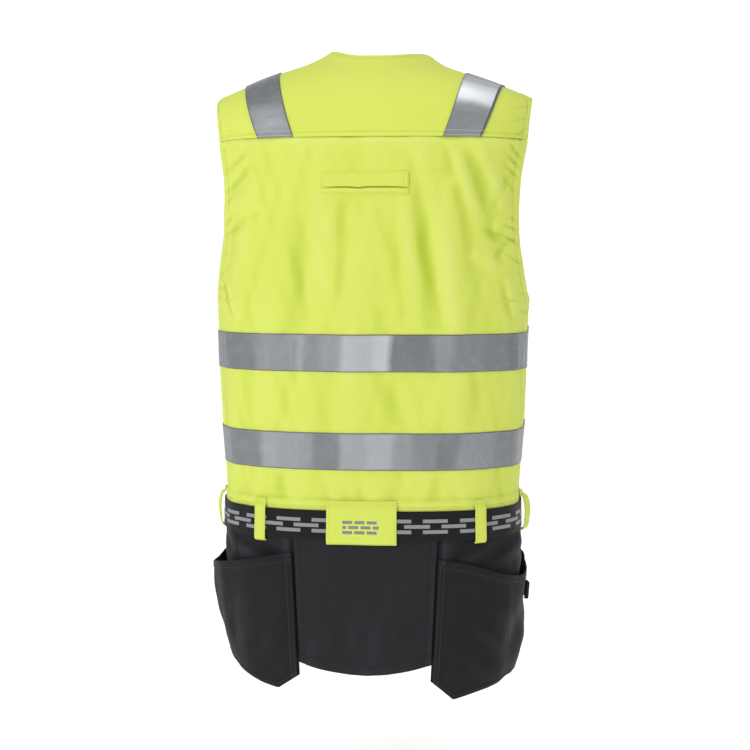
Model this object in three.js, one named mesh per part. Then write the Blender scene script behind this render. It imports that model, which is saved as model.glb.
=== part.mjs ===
// Utility work vest: a sleeveless high-visibility body with reflective tapes, a webbing belt in loops,
// and dark hanging pouches. Millimetres, +Z up. The back faces -Y and the wearer's right is +X.
// The origin is the middle of the shoulders' height, where the vest rests on the wearer.
import * as THREE from 'three';

// Body: half widths, depths and levels. A level is a height measured downwards from the origin.
const chestHalfWidth = 217;
const chestBackDepth = 130;
const chestFrontDepth = 136;
const bodyLength = 580;
const bodySquareness = 2.6;
const clothWall = 2;
const seamGap = 0.4;
const layerGap = 0.3;
const curvedGap = 0.8;

// Shoulders, yoke and neck
const shoulderHalfWidth = 220;
const shoulderTipDrop = 22;
const shoulderCentreRise = 42;
const shoulderLineCurve = 1.4;
const shoulderSquareness = 2.6;
const yokeBackLevel = 81;
const yokeFrontLevel = 70;
const neckHalfWidth = 69.5;
const neckShift = 11.5;
const neckBackReach = 80;
const neckFrontHalfWidth = 62;
const neckFrontLevel = 118;
const neckStandSide = 11;
const neckStandBack = 5;
const neckStandShare = 0.14;
const neckFrontCurve = 0.6;
const yokeCornerPlace = 0.36;

// Armholes
const underarmLevel = 298;
const armholeBackReach = 52;
const armholeFrontReach = 66;
const armholeSquareness = 2.3;

// Reflective tapes
const tapeWidth = 50;
const tapeThickness = 0.9;
const upperBandLevel = 341;
const lowerBandLevel = 473;
const frontBandLift = 6;
const leftTapeSeamPlace = 120;
const leftTapeTopPlace = 149;
const rightTapeSeamPlace = 127;
const rightTapeTopPlace = 158;

// Slotted patch on the upper back
const patchWidth = 116;
const patchHeight = 27;
const patchLevel = 127;
const patchThickness = 1.2;
const patchLipHeight = 5;
const patchLipLift = 2.2;
const patchLipSquareness = 4;
const patchRiseShare = 0.4;
const patchRiseLift = 0.2;
const patchColumns = 8;

// Hem, belt and its loops
const hemCasingHeight = 16;
const hemCasingThickness = 1.2;
const beltWidth = 40;
const beltThickness = 2.4;
const beltOverlap = 3;
const loopWidth = 16;
const loopThickness = 1.4;
const loopTopLap = 16;
const loopFoot = 4;
const loopGap = 0.5;
const loopRiseThicknesses = 4;
const loopBellyShare = 0.4;
const loopTurnShare = 0.7;
const loopSlack = { rise: 0.3, edge: 0.6, belly: 1, turn: 0.2 };
const rearLoopLeftPlace = 142;
const rearLoopRightPlace = 152;
const frontLoopPlace = 120;
const sideLoopShare = 0.97;
const sideLoopSlack = 8;
const tunnelWidth = 93;
const tunnelThickness = 1.6;
const buckleWidth = 66;
const buckleHeight = 52;
const buckleThickness = 11;
const buckleCornerRadius = 9;
const buckleBevel = 2;

// Dark lower back panel, side panels and pouches
const darkWall = 2;
const darkTuck = 15;
const tuckGap = 1.1;
const darkFlareHeight = 25;
const lowerPanelHalfWidth = 99;
const lowerPanelLength = 221;
const lowerPanelTaper = 10;
const lowerPanelHemRise = 15;
const pouchPanelLength = 257;
const pouchFrontShare = 1.42;
const pouchSeamSetback = 3;
const pouchLeftDepth = 21;
const pouchRightDepth = 15;
const pouchRoundness = 0.75;
const pouchFallCurve = 2.2;
const pouchFallEnd = 0.8;

// Side tab on the right pouch
const tabHeight = 23;
const tabWidth = 20;
const tabReach = 6;
const tabThickness = 1.5;
const tabLevel = 698;
const tabShare = 1.03;
const tabPullHeight = 12;
const tabPullWidth = 9;

// Front closure
const zipOpening = 7;
const zipTapeHalfWidth = 15;
const zipTapeThickness = 1.4;
const zipTeethHalfWidth = 4;
const zipTeethHeight = 1.9;
const zipTeethRoot = 1;
const sliderWidth = 11;
const sliderHeight = 16;
const sliderThickness = 4;
const pullWidth = 7;
const pullLength = 26;

// Mesh fineness
const rowSpacing = 28;
const underarmRows = [0.1, 0.03, 0];
const backColumns = 28;
const frontColumns = 10;
const darkRowSpacing = 32;
const lowerPanelColumns = 10;
const sidePanelColumns = 12;
const pouchColumns = 12;
const pouchRows = 8;
const yokeSeamColumns = 9;
const yokeArmholeColumns = 9;
const yokeRows = [0, 0.06, 0.14, 0.26, 0.4, 0.56, 0.76, 1];
const tapeSteps = 18;
const tapeColumns = 3;
const loopColumns = 2;
const tunnelColumns = 6;
const cornerSegments = 3;
const halvings = 24;
const edgeRow = 1;
const shareStep = 0.01;
const levelStep = 2;
const yokeShareStep = 0.04;
const yokeTurnStep = 0.02;

// Levels that follow from the sizes above
const hemLevel = bodyLength;
const beltTop = hemLevel - beltOverlap;
const beltBottom = beltTop + beltWidth;
const beltInner = hemCasingThickness + layerGap;
const beltOuter = beltInner + beltThickness;

// Sections of the body. at: level as a share of the body length. wide, frontWide: half widths as shares
// of the chest's. back, front: depths as shares of the chest's.
const sections = [
  { at: 0.00, wide: 1.030, frontWide: 1.040, back: 0.86, front: 0.80 },
  { at: 0.14, wide: 1.016, frontWide: 1.030, back: 0.95, front: 0.90 },
  { at: 0.24, wide: 0.980, frontWide: 0.995, back: 0.99, front: 0.97 },
  { at: 0.36, wide: 0.973, frontWide: 0.985, back: 1.00, front: 1.00 },
  { at: 0.44, wide: 0.990, frontWide: 1.005, back: 1.00, front: 1.00 },
  { at: 0.51, wide: 1.000, frontWide: 1.008, back: 0.99, front: 1.00 },
  { at: 0.63, wide: 0.997, frontWide: 0.997, back: 0.97, front: 0.99 },
  { at: 0.73, wide: 0.990, frontWide: 0.990, back: 0.96, front: 0.98 },
  { at: 0.81, wide: 0.980, frontWide: 0.980, back: 0.95, front: 0.97 },
  { at: 0.90, wide: 0.962, frontWide: 0.962, back: 0.95, front: 0.97 },
  { at: 1.00, wide: 0.950, frontWide: 0.950, back: 0.97, front: 0.97 },
  { at: 1.10, wide: 0.954, frontWide: 0.954, back: 0.99, front: 0.97 },
  { at: 1.25, wide: 0.930, frontWide: 0.930, back: 1.01, front: 0.96 },
  { at: 1.46, wide: 0.910, frontWide: 0.910, back: 1.01, front: 0.95 },
];

// Soft vertical folds. start, end: place round the body at the fold's top and bottom, 0 at the centre
// back, 1 at the right side seam and 2 at the centre front, negative on the left. top, bottom: levels as
// shares of the body length. depth: share of the fold height, a valley when negative. width: share round.
const foldHeight = 4;
const foldEase = 0.7;
const folds = [
  { start: 0.22, end: 0.31, top: 0.18, bottom: 0.66, depth: -1.00, width: 0.050 },
  { start: 0.30, end: 0.37, top: 0.22, bottom: 0.98, depth: 0.85, width: 0.060 },
  { start: -0.04, end: -0.08, top: 0.30, bottom: 1.00, depth: 0.60, width: 0.090 },
  { start: -0.26, end: -0.31, top: 0.30, bottom: 0.96, depth: -0.60, width: 0.080 },
  { start: -0.46, end: -0.60, top: 0.22, bottom: 0.60, depth: 0.60, width: 0.070 },
  { start: 0.46, end: 0.58, top: 0.18, bottom: 0.46, depth: -0.80, width: 0.060 },
  { start: 0.60, end: 0.68, top: 0.36, bottom: 0.98, depth: 0.80, width: 0.080 },
  { start: 0.09, end: 0.12, top: 0.52, bottom: 1.00, depth: -0.65, width: 0.070 },
  { start: -0.76, end: -0.70, top: 0.44, bottom: 0.96, depth: -0.70, width: 0.080 },
  { start: -1.42, end: -1.36, top: 0.30, bottom: 0.98, depth: 0.80, width: 0.090 },
  { start: 1.38, end: 1.44, top: 0.34, bottom: 0.98, depth: -0.80, width: 0.090 },
  { start: 1.66, end: 1.60, top: 0.40, bottom: 0.98, depth: 0.60, width: 0.070 },
];

// Outlines of the pouches. across: share from the back seam to the front edge. Mouth and bottom are
// levels below the hem as shares of the pouch panel's length.
const pouchOutline = [
  { across: 0.00, leftMouth: 0.215, leftBottom: 0.870, rightMouth: 0.240, rightBottom: 0.890 },
  { across: 0.09, leftMouth: 0.240, leftBottom: 0.955, rightMouth: 0.262, rightBottom: 0.995 },
  { across: 0.16, leftMouth: 0.262, leftBottom: 0.940, rightMouth: 0.290, rightBottom: 0.975 },
  { across: 0.26, leftMouth: 0.290, leftBottom: 0.900, rightMouth: 0.335, rightBottom: 0.950 },
  { across: 0.38, leftMouth: 0.315, leftBottom: 0.855, rightMouth: 0.370, rightBottom: 0.925 },
  { across: 0.52, leftMouth: 0.340, leftBottom: 0.790, rightMouth: 0.375, rightBottom: 0.930 },
  { across: 0.64, leftMouth: 0.345, leftBottom: 0.735, rightMouth: 0.350, rightBottom: 0.890 },
  { across: 0.82, leftMouth: 0.310, leftBottom: 0.690, rightMouth: 0.310, rightBottom: 0.760 },
  { across: 1.00, leftMouth: 0.250, leftBottom: 0.660, rightMouth: 0.250, rightBottom: 0.690 },
];

// Finishes
const yellowCloth = new THREE.MeshStandardMaterial({ color: 0xd6ea4f, roughness: 0.85, metalness: 0 });
const reflectiveTape = new THREE.MeshStandardMaterial({ color: 0x8e9299, roughness: 0.45, metalness: 0.3 });
const darkCloth = new THREE.MeshStandardMaterial({ color: 0x2c2b2f, roughness: 0.9, metalness: 0 });
const blackWebbing = new THREE.MeshStandardMaterial({ color: 0x151517, roughness: 0.8, metalness: 0 });
const blackPlastic = new THREE.MeshStandardMaterial({ color: 0x1b1b1d, roughness: 0.5, metalness: 0 });

const vest = new THREE.Group();
vest.name = 'vest';

function addPiece(name, geometry, material) {
  const piece = new THREE.Mesh(geometry, material);
  piece.name = name;
  vest.add(piece);
  return piece;
}

// Reads a table with a smooth curve through its rows. key names the column that is looked up.
function readTable(table, key, column, value) {
  const last = table.length - 1;
  if (value <= table[0][key]) {
    return table[0][column];
  }
  if (value >= table[last][key]) {
    return table[last][column];
  }
  const i = table.findIndex((row) => row[key] > value) - 1;
  const span = table[i + 1][key] - table[i][key];
  const t = (value - table[i][key]) / span;
  const slopeAt = (k) => {
    const before = table[Math.max(k - 1, 0)];
    const after = table[Math.min(k + 1, last)];
    return ((after[column] - before[column]) / (after[key] - before[key])) * span;
  };
  const a = table[i][column];
  const b = table[i + 1][column];
  const bend = t * (1 - t);
  const straight = a + (b - a) * t * t * (3 - 2 * t);
  return straight + bend * ((1 - t) * slopeAt(i) - t * slopeAt(i + 1));
}

function readStraight(table, key, column, value) {
  const last = table.length - 1;
  const i = Math.max(0, Math.min(last - 1, table.findIndex((row) => row[key] >= value) - 1));
  const t = (value - table[i][key]) / (table[i + 1][key] - table[i][key]);
  return table[i][column] + (table[i + 1][column] - table[i][column]) * t;
}

// A point of a rounded square of half size 1, by share of the quarter turn from its middle to its side
function roundedQuarter(share, squareness) {
  const angle = (share * Math.PI) / 2;
  const across = Math.abs(Math.sin(angle));
  const along = Math.abs(Math.cos(angle));
  const reach = Math.pow(across ** squareness + along ** squareness, -1 / squareness);
  return { across: reach * Math.sin(angle), along: reach * along };
}

// The share of the quarter turn at which the rounded square reaches a given share of its half width
function shareAcross(part, squareness) {
  const clamped = Math.max(-1, Math.min(1, part));
  const along = Math.pow(1 - Math.abs(clamped) ** squareness, 1 / squareness);
  return Math.atan2(clamped, along) / (Math.PI / 2);
}

// How far an armhole edge stands in front of or behind the side line at a level
function armholeReach(level, reach) {
  const middle = (shoulderTipDrop + underarmLevel) / 2;
  const half = (underarmLevel - shoulderTipDrop) / 2;
  const away = Math.min(1, Math.abs((level - middle) / half));
  return reach * Math.pow(1 - away ** armholeSquareness, 1 / armholeSquareness);
}

function halfWidthAt(side, level) {
  const column = side === 'back' ? 'wide' : 'frontWide';
  return chestHalfWidth * readTable(sections, 'at', column, level / bodyLength);
}

function depthAt(side, level) {
  const depth = side === 'back' ? chestBackDepth : chestFrontDepth;
  return depth * readTable(sections, 'at', side, level / bodyLength);
}

function foldAt(round, level) {
  const share = level / bodyLength;
  let height = 0;
  for (const fold of folds) {
    const t = (share - fold.top) / (fold.bottom - fold.top);
    if (t > 0 && t < 1) {
      const away = (round - fold.start - (fold.end - fold.start) * t) / fold.width;
      height += fold.depth * Math.exp(-away * away) * Math.sin(Math.PI * t) ** foldEase;
    }
  }
  return height * foldHeight;
}

// The share of the quarter turn at which a panel ends: its side seam, or its armhole's edge
function edgeShare(side, level) {
  const reach = armholeReach(level, side === 'back' ? armholeBackReach : armholeFrontReach);
  return 1 - shareAcross((reach + seamGap / 2) / depthAt(side, level), bodySquareness);
}

// The body's outer surface before its folds. share runs from -1 at the left to 1 at the right.
function bareBody(side, share, level) {
  const { across, along } = roundedQuarter(share * edgeShare(side, level), bodySquareness);
  const depth = depthAt(side, level) * along;
  return new THREE.Vector3(halfWidthAt(side, level) * across, side === 'back' ? -depth : depth, -level);
}

// The normal of a surface whose first share, and second where it is limited, run from -1 to 1
function outwardNormal(surface, u, v, du, dv, limit = 1) {
  const alongU = surface(Math.min(u + du, 1), v).sub(surface(Math.max(u - du, -1), v));
  const alongV = surface(u, Math.min(v + dv, limit)).sub(surface(u, Math.max(v - dv, -limit)));
  return alongU.cross(alongV).normalize();
}

// A point of the body with its folds, lifted off the surface by an offset
function onBody(side, share, level, offset) {
  const surface = (u, v) => bareBody(side, u, v);
  const normal = outwardNormal(surface, share, level, shareStep, levelStep, Infinity);
  if (side === 'back') {
    normal.negate();
  }
  const round = side === 'back' ? share : Math.sign(share) * (2 - Math.abs(share));
  return bareBody(side, share, level).addScaledVector(normal, foldAt(round, level) + offset);
}

// The same by place round the body: 0 is the centre back, 1 and -1 the side seams, 2 the centre front
function roundBody(round, level, offset) {
  if (Math.abs(round) <= 1) {
    return onBody('back', round, level, offset);
  }
  return onBody('front', Math.sign(round) * (2 - Math.abs(round)), level, offset);
}

// Share of the quarter turn at which the body reaches a sideways place at a level
function shareAtPlace(side, place, level) {
  return shareAcross(place / halfWidthAt(side, level), bodySquareness) / edgeShare(side, level);
}

// A closed sheet from rows of points, each with an outer and an inner end
function closedSheet(rows, joined = false) {
  const rowCount = rows.length;
  const columnCount = rows[0].length;
  const points = [];
  for (const row of rows) {
    for (const [outer, inner] of row) {
      points.push(outer, inner);
    }
  }
  const index = (i, j, end) => 2 * (i * columnCount + (j % columnCount)) + end;
  const triangles = [];
  const addQuad = (a, b, c, d) => triangles.push([a, b, c], [a, c, d]);
  const cells = joined ? columnCount : columnCount - 1;
  for (let i = 0; i < rowCount - 1; i++) {
    for (let j = 0; j < cells; j++) {
      addQuad(index(i, j, 0), index(i + 1, j, 0), index(i + 1, j + 1, 0), index(i, j + 1, 0));
      triangles.push([index(i, j, 1), index(i + 1, j + 1, 1), index(i + 1, j, 1)]);
      triangles.push([index(i, j, 1), index(i, j + 1, 1), index(i + 1, j + 1, 1)]);
    }
    if (!joined) {
      const end = columnCount - 1;
      addQuad(index(i, 0, 0), index(i, 0, 1), index(i + 1, 0, 1), index(i + 1, 0, 0));
      addQuad(index(i, end, 1), index(i, end, 0), index(i + 1, end, 0), index(i + 1, end, 1));
    }
  }
  const foot = rowCount - 1;
  for (let j = 0; j < cells; j++) {
    addQuad(index(0, j, 1), index(0, j, 0), index(0, j + 1, 0), index(0, j + 1, 1));
    addQuad(index(foot, j, 0), index(foot, j, 1), index(foot, j + 1, 1), index(foot, j + 1, 0));
  }
  return outwardGeometry(points, triangles);
}

// Turns all the triangles round where they enclose a negative volume
function outwardGeometry(points, triangles) {
  let volume = 0;
  for (const [a, b, c] of triangles) {
    volume += points[a].dot(points[b].clone().cross(points[c]));
  }
  const ordered = volume < 0 ? triangles.map(([a, b, c]) => [a, c, b]) : triangles;
  const geometry = new THREE.BufferGeometry();
  const numbers = points.flatMap((point) => [point.x, point.y, point.z]);
  geometry.setAttribute('position', new THREE.Float32BufferAttribute(numbers, 3));
  geometry.setIndex(ordered.flat());
  geometry.computeVertexNormals();
  return geometry;
}

// Levels from the first to the last of some fixed ones, with even steps between them
function levelsThrough(fixed, spacing) {
  const sorted = [...new Set(fixed)].sort((a, b) => a - b);
  const levels = [sorted[0]];
  for (let i = 1; i < sorted.length; i++) {
    const span = sorted[i] - sorted[i - 1];
    const parts = Math.max(1, Math.round(span / spacing));
    for (let k = 1; k <= parts; k++) {
      levels.push(sorted[i - 1] + (span * k) / parts);
    }
  }
  return levels;
}

function evenly(from, to, parts) {
  return Array.from({ length: parts + 1 }, (_, k) => from + ((to - from) * k) / parts);
}

// Levels that the rows of a panel pass through, the reflective bands' edges among them
function panelLevels(side, top) {
  const lift = side === 'front' ? frontBandLift : 0;
  const armhole = underarmLevel - shoulderTipDrop;
  const fixed = [top, ...underarmRows.map((share) => underarmLevel - share * armhole)];
  for (const band of [upperBandLevel, lowerBandLevel]) {
    fixed.push(band - lift, band - lift + tapeWidth);
  }
  fixed.push(hemLevel - hemCasingHeight, hemLevel - hemCasingHeight + edgeRow, hemLevel);
  return levelsThrough(fixed.filter((level) => level >= top), rowSpacing);
}

function casingLift(level) {
  return level > hemLevel - hemCasingHeight ? hemCasingThickness : 0;
}

// Back panel, from the yoke seam to the hem
const backShares = evenly(-1, 1, backColumns);
function makeBackPanel() {
  const rows = panelLevels('back', yokeBackLevel + seamGap / 2).map((level) =>
    backShares.map((share) => [
      onBody('back', share, level, casingLift(level)),
      onBody('back', share, level, -clothWall),
    ]),
  );
  addPiece('back_panel', closedSheet(rows), yellowCloth);
}

// Front panels, from the yoke's front seam and the neck edge to the hem
function frontShares(level) {
  return evenly(shareAtPlace('front', zipOpening, level), 1, frontColumns);
}

function neckEdgeLevel(share) {
  const corner = shareAtPlace('front', neckFrontHalfWidth, yokeFrontLevel);
  const inside = Math.max(0, 1 - Math.abs(share) / corner);
  return yokeFrontLevel + seamGap / 2 + (neckFrontLevel - yokeFrontLevel) * inside ** neckFrontCurve;
}

function makeFrontPanel(name, hand) {
  const base = panelLevels('front', yokeFrontLevel + seamGap / 2);
  const top = base[0];
  const rows = base.map((level) =>
    frontShares(level).map((share) => {
      const lowered = neckEdgeLevel(share);
      const stretch = level < underarmLevel ? (level - top) / (underarmLevel - top) : 1;
      const placed = level < underarmLevel ? lowered + (underarmLevel - lowered) * stretch : level;
      return [
        onBody('front', hand * share, placed, casingLift(placed)),
        onBody('front', hand * share, placed, -clothWall),
      ];
    }),
  );
  addPiece(name, closedSheet(rows), yellowCloth);
}

// The shoulder line's height at a sideways place
function shoulderLine(place) {
  const share = Math.abs(place) / shoulderHalfWidth;
  return shoulderCentreRise - (shoulderCentreRise + shoulderTipDrop) * share ** shoulderLineCurve;
}

// The yoke's outer surface. share runs across as on the body, turn runs from -1 at the back seam
// through 0 on the shoulder line to 1 at the front seam.
function overShoulder(share, turn) {
  const side = turn < 0 ? 'back' : 'front';
  const seamLevel = turn < 0 ? yokeBackLevel - seamGap / 2 : yokeFrontLevel - seamGap / 2;
  const seam = bareBody(side, share, seamLevel);
  const top = roundedQuarter(share, bodySquareness).across * shoulderHalfWidth;
  const { across, along } = roundedQuarter(turn, shoulderSquareness);
  const x = seam.x + (top - seam.x) * along;
  const z = seam.z + (shoulderLine(x) - seam.z) * along;
  return new THREE.Vector3(x, seam.y * Math.abs(across), z);
}

// The yoke's share at a sideways place, found by halving
function yokeShareAtPlace(place, turn) {
  let low = 0;
  let high = 1;
  for (let k = 0; k < halvings; k++) {
    const middle = (low + high) / 2;
    if (overShoulder(middle, turn).x < place) {
      low = middle;
    } else {
      high = middle;
    }
  }
  return (low + high) / 2;
}

function onYoke(share, turn, offset) {
  const normal = outwardNormal(overShoulder, share, turn, yokeShareStep, yokeTurnStep);
  return overShoulder(share, turn).addScaledVector(normal, offset);
}

// The neck edge in the yoke's own shares, from the centre back at 0 to the front seam at 1
function neckEdge(along, hand) {
  const backDepth = depthAt('back', yokeBackLevel);
  const backTurn = shareAcross(neckBackReach / backDepth, shoulderSquareness);
  const sideShare = shareAtPlace('back', neckHalfWidth + hand * neckShift, 0);
  const frontShare = shareAtPlace('front', neckFrontHalfWidth, yokeFrontLevel);
  const angle = Math.min(along * 2, 1) * (Math.PI / 2);
  if (along <= 0.5) {
    return { share: sideShare * Math.sin(angle), turn: -backTurn * Math.cos(angle) };
  }
  const beyond = (along - 0.5) * 2;
  return { share: sideShare + (frontShare - sideShare) * beyond ** 2, turn: beyond };
}

function neckStand(along) {
  const side = Math.sin(Math.min(1, along * 2) * (Math.PI / 2)) ** 2;
  const fade = along > 0.5 ? 1 - (along - 0.5) * 2 : 1;
  return (neckStandBack + (neckStandSide - neckStandBack) * side) * fade;
}

// Yoke: a horseshoe round the neck, in columns from the neck edge out to the back seam or the armhole
function makeYoke() {
  const columns = [];
  for (let k = 0; k <= yokeSeamColumns; k++) {
    const along = (yokeCornerPlace * k) / yokeSeamColumns;
    columns.push({ along, share: k / yokeSeamColumns, turn: -1 });
  }
  for (let k = 1; k <= yokeArmholeColumns; k++) {
    const along = yokeCornerPlace + ((1 - yokeCornerPlace) * k) / yokeArmholeColumns;
    columns.push({ along, share: 1, turn: -1 + (2 * k) / yokeArmholeColumns });
  }
  const mirrored = columns.slice(1).reverse().map((column) => ({ ...column, hand: -1 }));
  const all = mirrored.concat(columns.map((column) => ({ ...column, hand: 1 })));
  const rows = yokeRows.map((out) =>
    all.map(({ along, share, turn, hand }) => {
      const inner = neckEdge(along, hand);
      const placedShare = hand * (inner.share + (share - inner.share) * out);
      const placedTurn = inner.turn + (turn - inner.turn) * out;
      const stand = neckStand(along) * Math.max(0, 1 - out / neckStandShare) ** 2;
      return [0, -clothWall].map((offset) => {
        const point = onYoke(placedShare, placedTurn, offset);
        point.z += stand;
        return point;
      });
    }),
  );
  addPiece('yoke', closedSheet(rows), yellowCloth);
}

// Shoulder tapes, from the back yoke seam over the shoulder to the front seam
function makeShoulderTape(name, hand, seamPlace, topPlace) {
  const base = curvedGap;
  const rows = evenly(-1, 1, tapeSteps).map((turn) => {
    const middle = topPlace - (topPlace - seamPlace) * turn ** 2;
    return evenly(-1, 1, tapeColumns).map((side) => {
      const share = hand * yokeShareAtPlace(middle + (side * tapeWidth) / 2, turn);
      return [onYoke(share, turn, base + tapeThickness), onYoke(share, turn, base)];
    });
  });
  addPiece(name, closedSheet(rows), reflectiveTape);
}

// Reflective bands round the body, sewn on in one back and two front lengths
function makeBand(name, side, level, shares) {
  const edge = side === 'front' ? level - frontBandLift : level;
  const rows = panelLevels(side, side === 'front' ? yokeFrontLevel : yokeBackLevel)
    .filter((row) => row > edge - edgeRow / 2 && row < edge + tapeWidth + edgeRow / 2)
    .map((row) =>
      shares(row).map((share) => [
        onBody(side, share, row, layerGap + tapeThickness),
        onBody(side, share, row, layerGap),
      ]),
    );
  addPiece(name, closedSheet(rows), reflectiveTape);
}

function makeBandRound(name, level) {
  makeBand(`${name}_back`, 'back', level, () => backShares);
  for (const [word, hand] of [['left', -1], ['right', 1]]) {
    const shares = (row) => frontShares(row).map((share) => hand * share);
    makeBand(`${name}_front_${word}`, 'front', level, shares);
  }
}

// Patch with a slot across its foot: the lower lip stands a little proud of the back
function makeSlotPatch() {
  const bottom = patchLevel + patchHeight;
  const lift = [
    { level: patchLevel, height: 0 },
    { level: patchLevel + patchRiseShare * patchHeight, height: patchRiseLift * patchLipLift },
    { level: bottom - patchLipHeight, height: patchLipLift },
    { level: bottom, height: 0 },
  ];
  const base = layerGap * 2;
  const rows = lift.map(({ level, height }) =>
    evenly(-1, 1, patchColumns).map((side) => {
      const share = shareAtPlace('back', (side * patchWidth) / 2, level);
      const raised = base + height * (1 - Math.abs(side) ** patchLipSquareness);
      return [onBody('back', share, level, raised + patchThickness), onBody('back', share, level, raised)];
    }),
  );
  addPiece('slot_patch', closedSheet(rows), yellowCloth);
}

// A strap that follows a path of levels and lifts, as wide as given, at a place round the body
function strapOnBody(path, round, width, thickness, columns) {
  const level = path[Math.floor(path.length / 2)].level;
  const run = roundBody(round + shareStep, level, 0).distanceTo(roundBody(round, level, 0));
  const perShare = run / shareStep;
  const places = evenly(-1, 1, columns).map((side) => round + (side * width) / 2 / perShare);
  const rows = path.map((point, k) => {
    const before = path[Math.max(k - 1, 0)];
    const after = path[Math.min(k + 1, path.length - 1)];
    const way = new THREE.Vector2(after.level - before.level, after.lift - before.lift).normalize();
    const outer = { level: point.level - way.y * thickness, lift: point.lift + way.x * thickness };
    return places.map((place) => [
      roundBody(place, outer.level, outer.lift),
      roundBody(place, point.level, point.lift),
    ]);
  });
  return closedSheet(rows);
}

// The way of a loop's inner face: sewn to the hem casing, out over the belt, and in to the dark panel
function loopPath(thickness, slack) {
  const seat = hemCasingThickness + loopGap;
  const over = beltOuter + loopGap;
  const foot = darkLift(beltBottom + loopFoot) + loopGap;
  return [
    { level: hemLevel - loopTopLap, lift: seat },
    { level: beltTop - thickness * loopRiseThicknesses, lift: seat + slack * loopSlack.rise },
    { level: beltTop - thickness, lift: over + slack * loopSlack.edge },
    { level: beltTop + beltWidth * loopBellyShare, lift: over + slack * loopSlack.belly },
    { level: beltBottom + layerGap, lift: over + slack * loopSlack.edge },
    { level: beltBottom + loopFoot * loopTurnShare, lift: over / 2 + slack * loopSlack.turn },
    { level: beltBottom + loopFoot, lift: foot },
  ];
}

function makeBeltLoops() {
  const front = 2 - shareAtPlace('front', frontLoopPlace, beltTop);
  for (const [word, hand, place] of [['left', -1, rearLoopLeftPlace], ['right', 1, rearLoopRightPlace]]) {
    const rear = shareAtPlace('back', place, beltTop);
    const loops = [['rear', rear, 0], ['side', sideLoopShare, sideLoopSlack], ['front', front, 0]];
    for (const [where, round, slack] of loops) {
      const way = loopPath(loopThickness, slack);
      const shape = strapOnBody(way, hand * round, loopWidth, loopThickness, loopColumns);
      addPiece(`belt_loop_${where}_${word}`, shape, yellowCloth);
    }
  }
}

function makeBeltTunnel() {
  const shape = strapOnBody(loopPath(tunnelThickness, 0), 0, tunnelWidth, tunnelThickness, tunnelColumns);
  addPiece('belt_tunnel', shape, yellowCloth);
}

// Belt: one closed ring of webbing, fastened in front by its buckle
function makeBelt() {
  const front = frontShares(hemLevel).slice(0, -1).map((share) => 2 - share);
  const places = [...front.map((place) => -place), ...backShares, ...front.reverse()];
  const rows = [beltTop, beltBottom].map((level) =>
    places.map((round) => [roundBody(round, level, beltOuter), roundBody(round, level, beltInner)]),
  );
  addPiece('belt', closedSheet(rows, true), blackWebbing);
}

function roundedPlate(width, height, radius) {
  const x = width / 2;
  const y = height / 2;
  const outline = new THREE.Shape();
  outline.moveTo(-x + radius, -y);
  outline.lineTo(x - radius, -y);
  outline.absarc(x - radius, -y + radius, radius, -Math.PI / 2, 0);
  outline.lineTo(x, y - radius);
  outline.absarc(x - radius, y - radius, radius, 0, Math.PI / 2);
  outline.lineTo(-x + radius, y);
  outline.absarc(-x + radius, y - radius, radius, Math.PI / 2, Math.PI);
  outline.lineTo(-x, -y + radius);
  outline.absarc(-x + radius, -y + radius, radius, Math.PI, Math.PI * 1.5);
  return outline;
}

// An outline drawn in X and Z, given a thickness towards +Y
function plateFacingFront(outline, thickness, bevel) {
  const geometry = new THREE.ExtrudeGeometry(outline, {
    depth: thickness - 2 * bevel,
    bevelEnabled: bevel > 0,
    bevelThickness: bevel,
    bevelSize: bevel,
    bevelOffset: -bevel,
    bevelSegments: 1,
    curveSegments: cornerSegments,
  });
  geometry.translate(0, 0, bevel);
  geometry.rotateX(-Math.PI / 2);
  geometry.rotateY(Math.PI);
  return geometry;
}

function makeBuckle() {
  const plate = roundedPlate(buckleWidth, buckleHeight, buckleCornerRadius);
  const geometry = plateFacingFront(plate, buckleThickness, buckleBevel);
  const level = (beltTop + beltBottom) / 2;
  const face = roundBody(2, beltBottom, beltOuter).y;
  const piece = addPiece('belt_buckle', geometry, blackPlastic);
  piece.position.set(0, Math.max(face, roundBody(2, beltTop, beltOuter).y) + layerGap, -level);
}

// How far the dark panels' outer face stands off the body's: inside the hem, then out below the belt
function darkLift(level) {
  const t = Math.max(0, Math.min(1, (level - hemLevel - layerGap) / darkFlareHeight));
  return -(clothWall + tuckGap) * (1 - t * t * (3 - 2 * t));
}

// Levels of a dark panel's rows, from its tuck inside the hem down to its own lower edge
function darkLevels(bottom, length) {
  const flared = hemLevel + layerGap + darkFlareHeight;
  const parts = Math.round((length - darkFlareHeight) / darkRowSpacing);
  return [hemLevel - darkTuck, hemLevel + layerGap, hemLevel + layerGap + darkFlareHeight / 2]
    .concat(evenly(flared, bottom, parts));
}

function darkPair(round, level) {
  const lift = darkLift(level);
  return [roundBody(round, level, lift), roundBody(round, level, lift - darkWall)];
}

// Place round the body of the seam between the dark centre panel and a side panel
function lowerSeam(level, aside) {
  const taper = (lowerPanelTaper * Math.max(0, level - hemLevel)) / lowerPanelLength;
  return shareAtPlace('back', lowerPanelHalfWidth - taper + aside, level);
}

// Dark centre panel, hanging from inside the hem to its own curved hem
function makeLowerBackPanel() {
  const columns = evenly(-1, 1, lowerPanelColumns).map((part) => {
    const bottom = hemLevel + lowerPanelLength - lowerPanelHemRise * part ** 2;
    const levels = darkLevels(bottom, lowerPanelLength);
    return levels.map((level) => darkPair(part * lowerSeam(level, -seamGap / 2), level));
  });
  const rows = columns[0].map((_, i) => columns.map((column) => column[i]));
  addPiece('lower_back_panel', closedSheet(rows), darkCloth);
}

function pouchRound(across, level) {
  const inner = lowerSeam(level, seamGap / 2);
  return inner + (pouchFrontShare - inner) * across;
}

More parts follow.
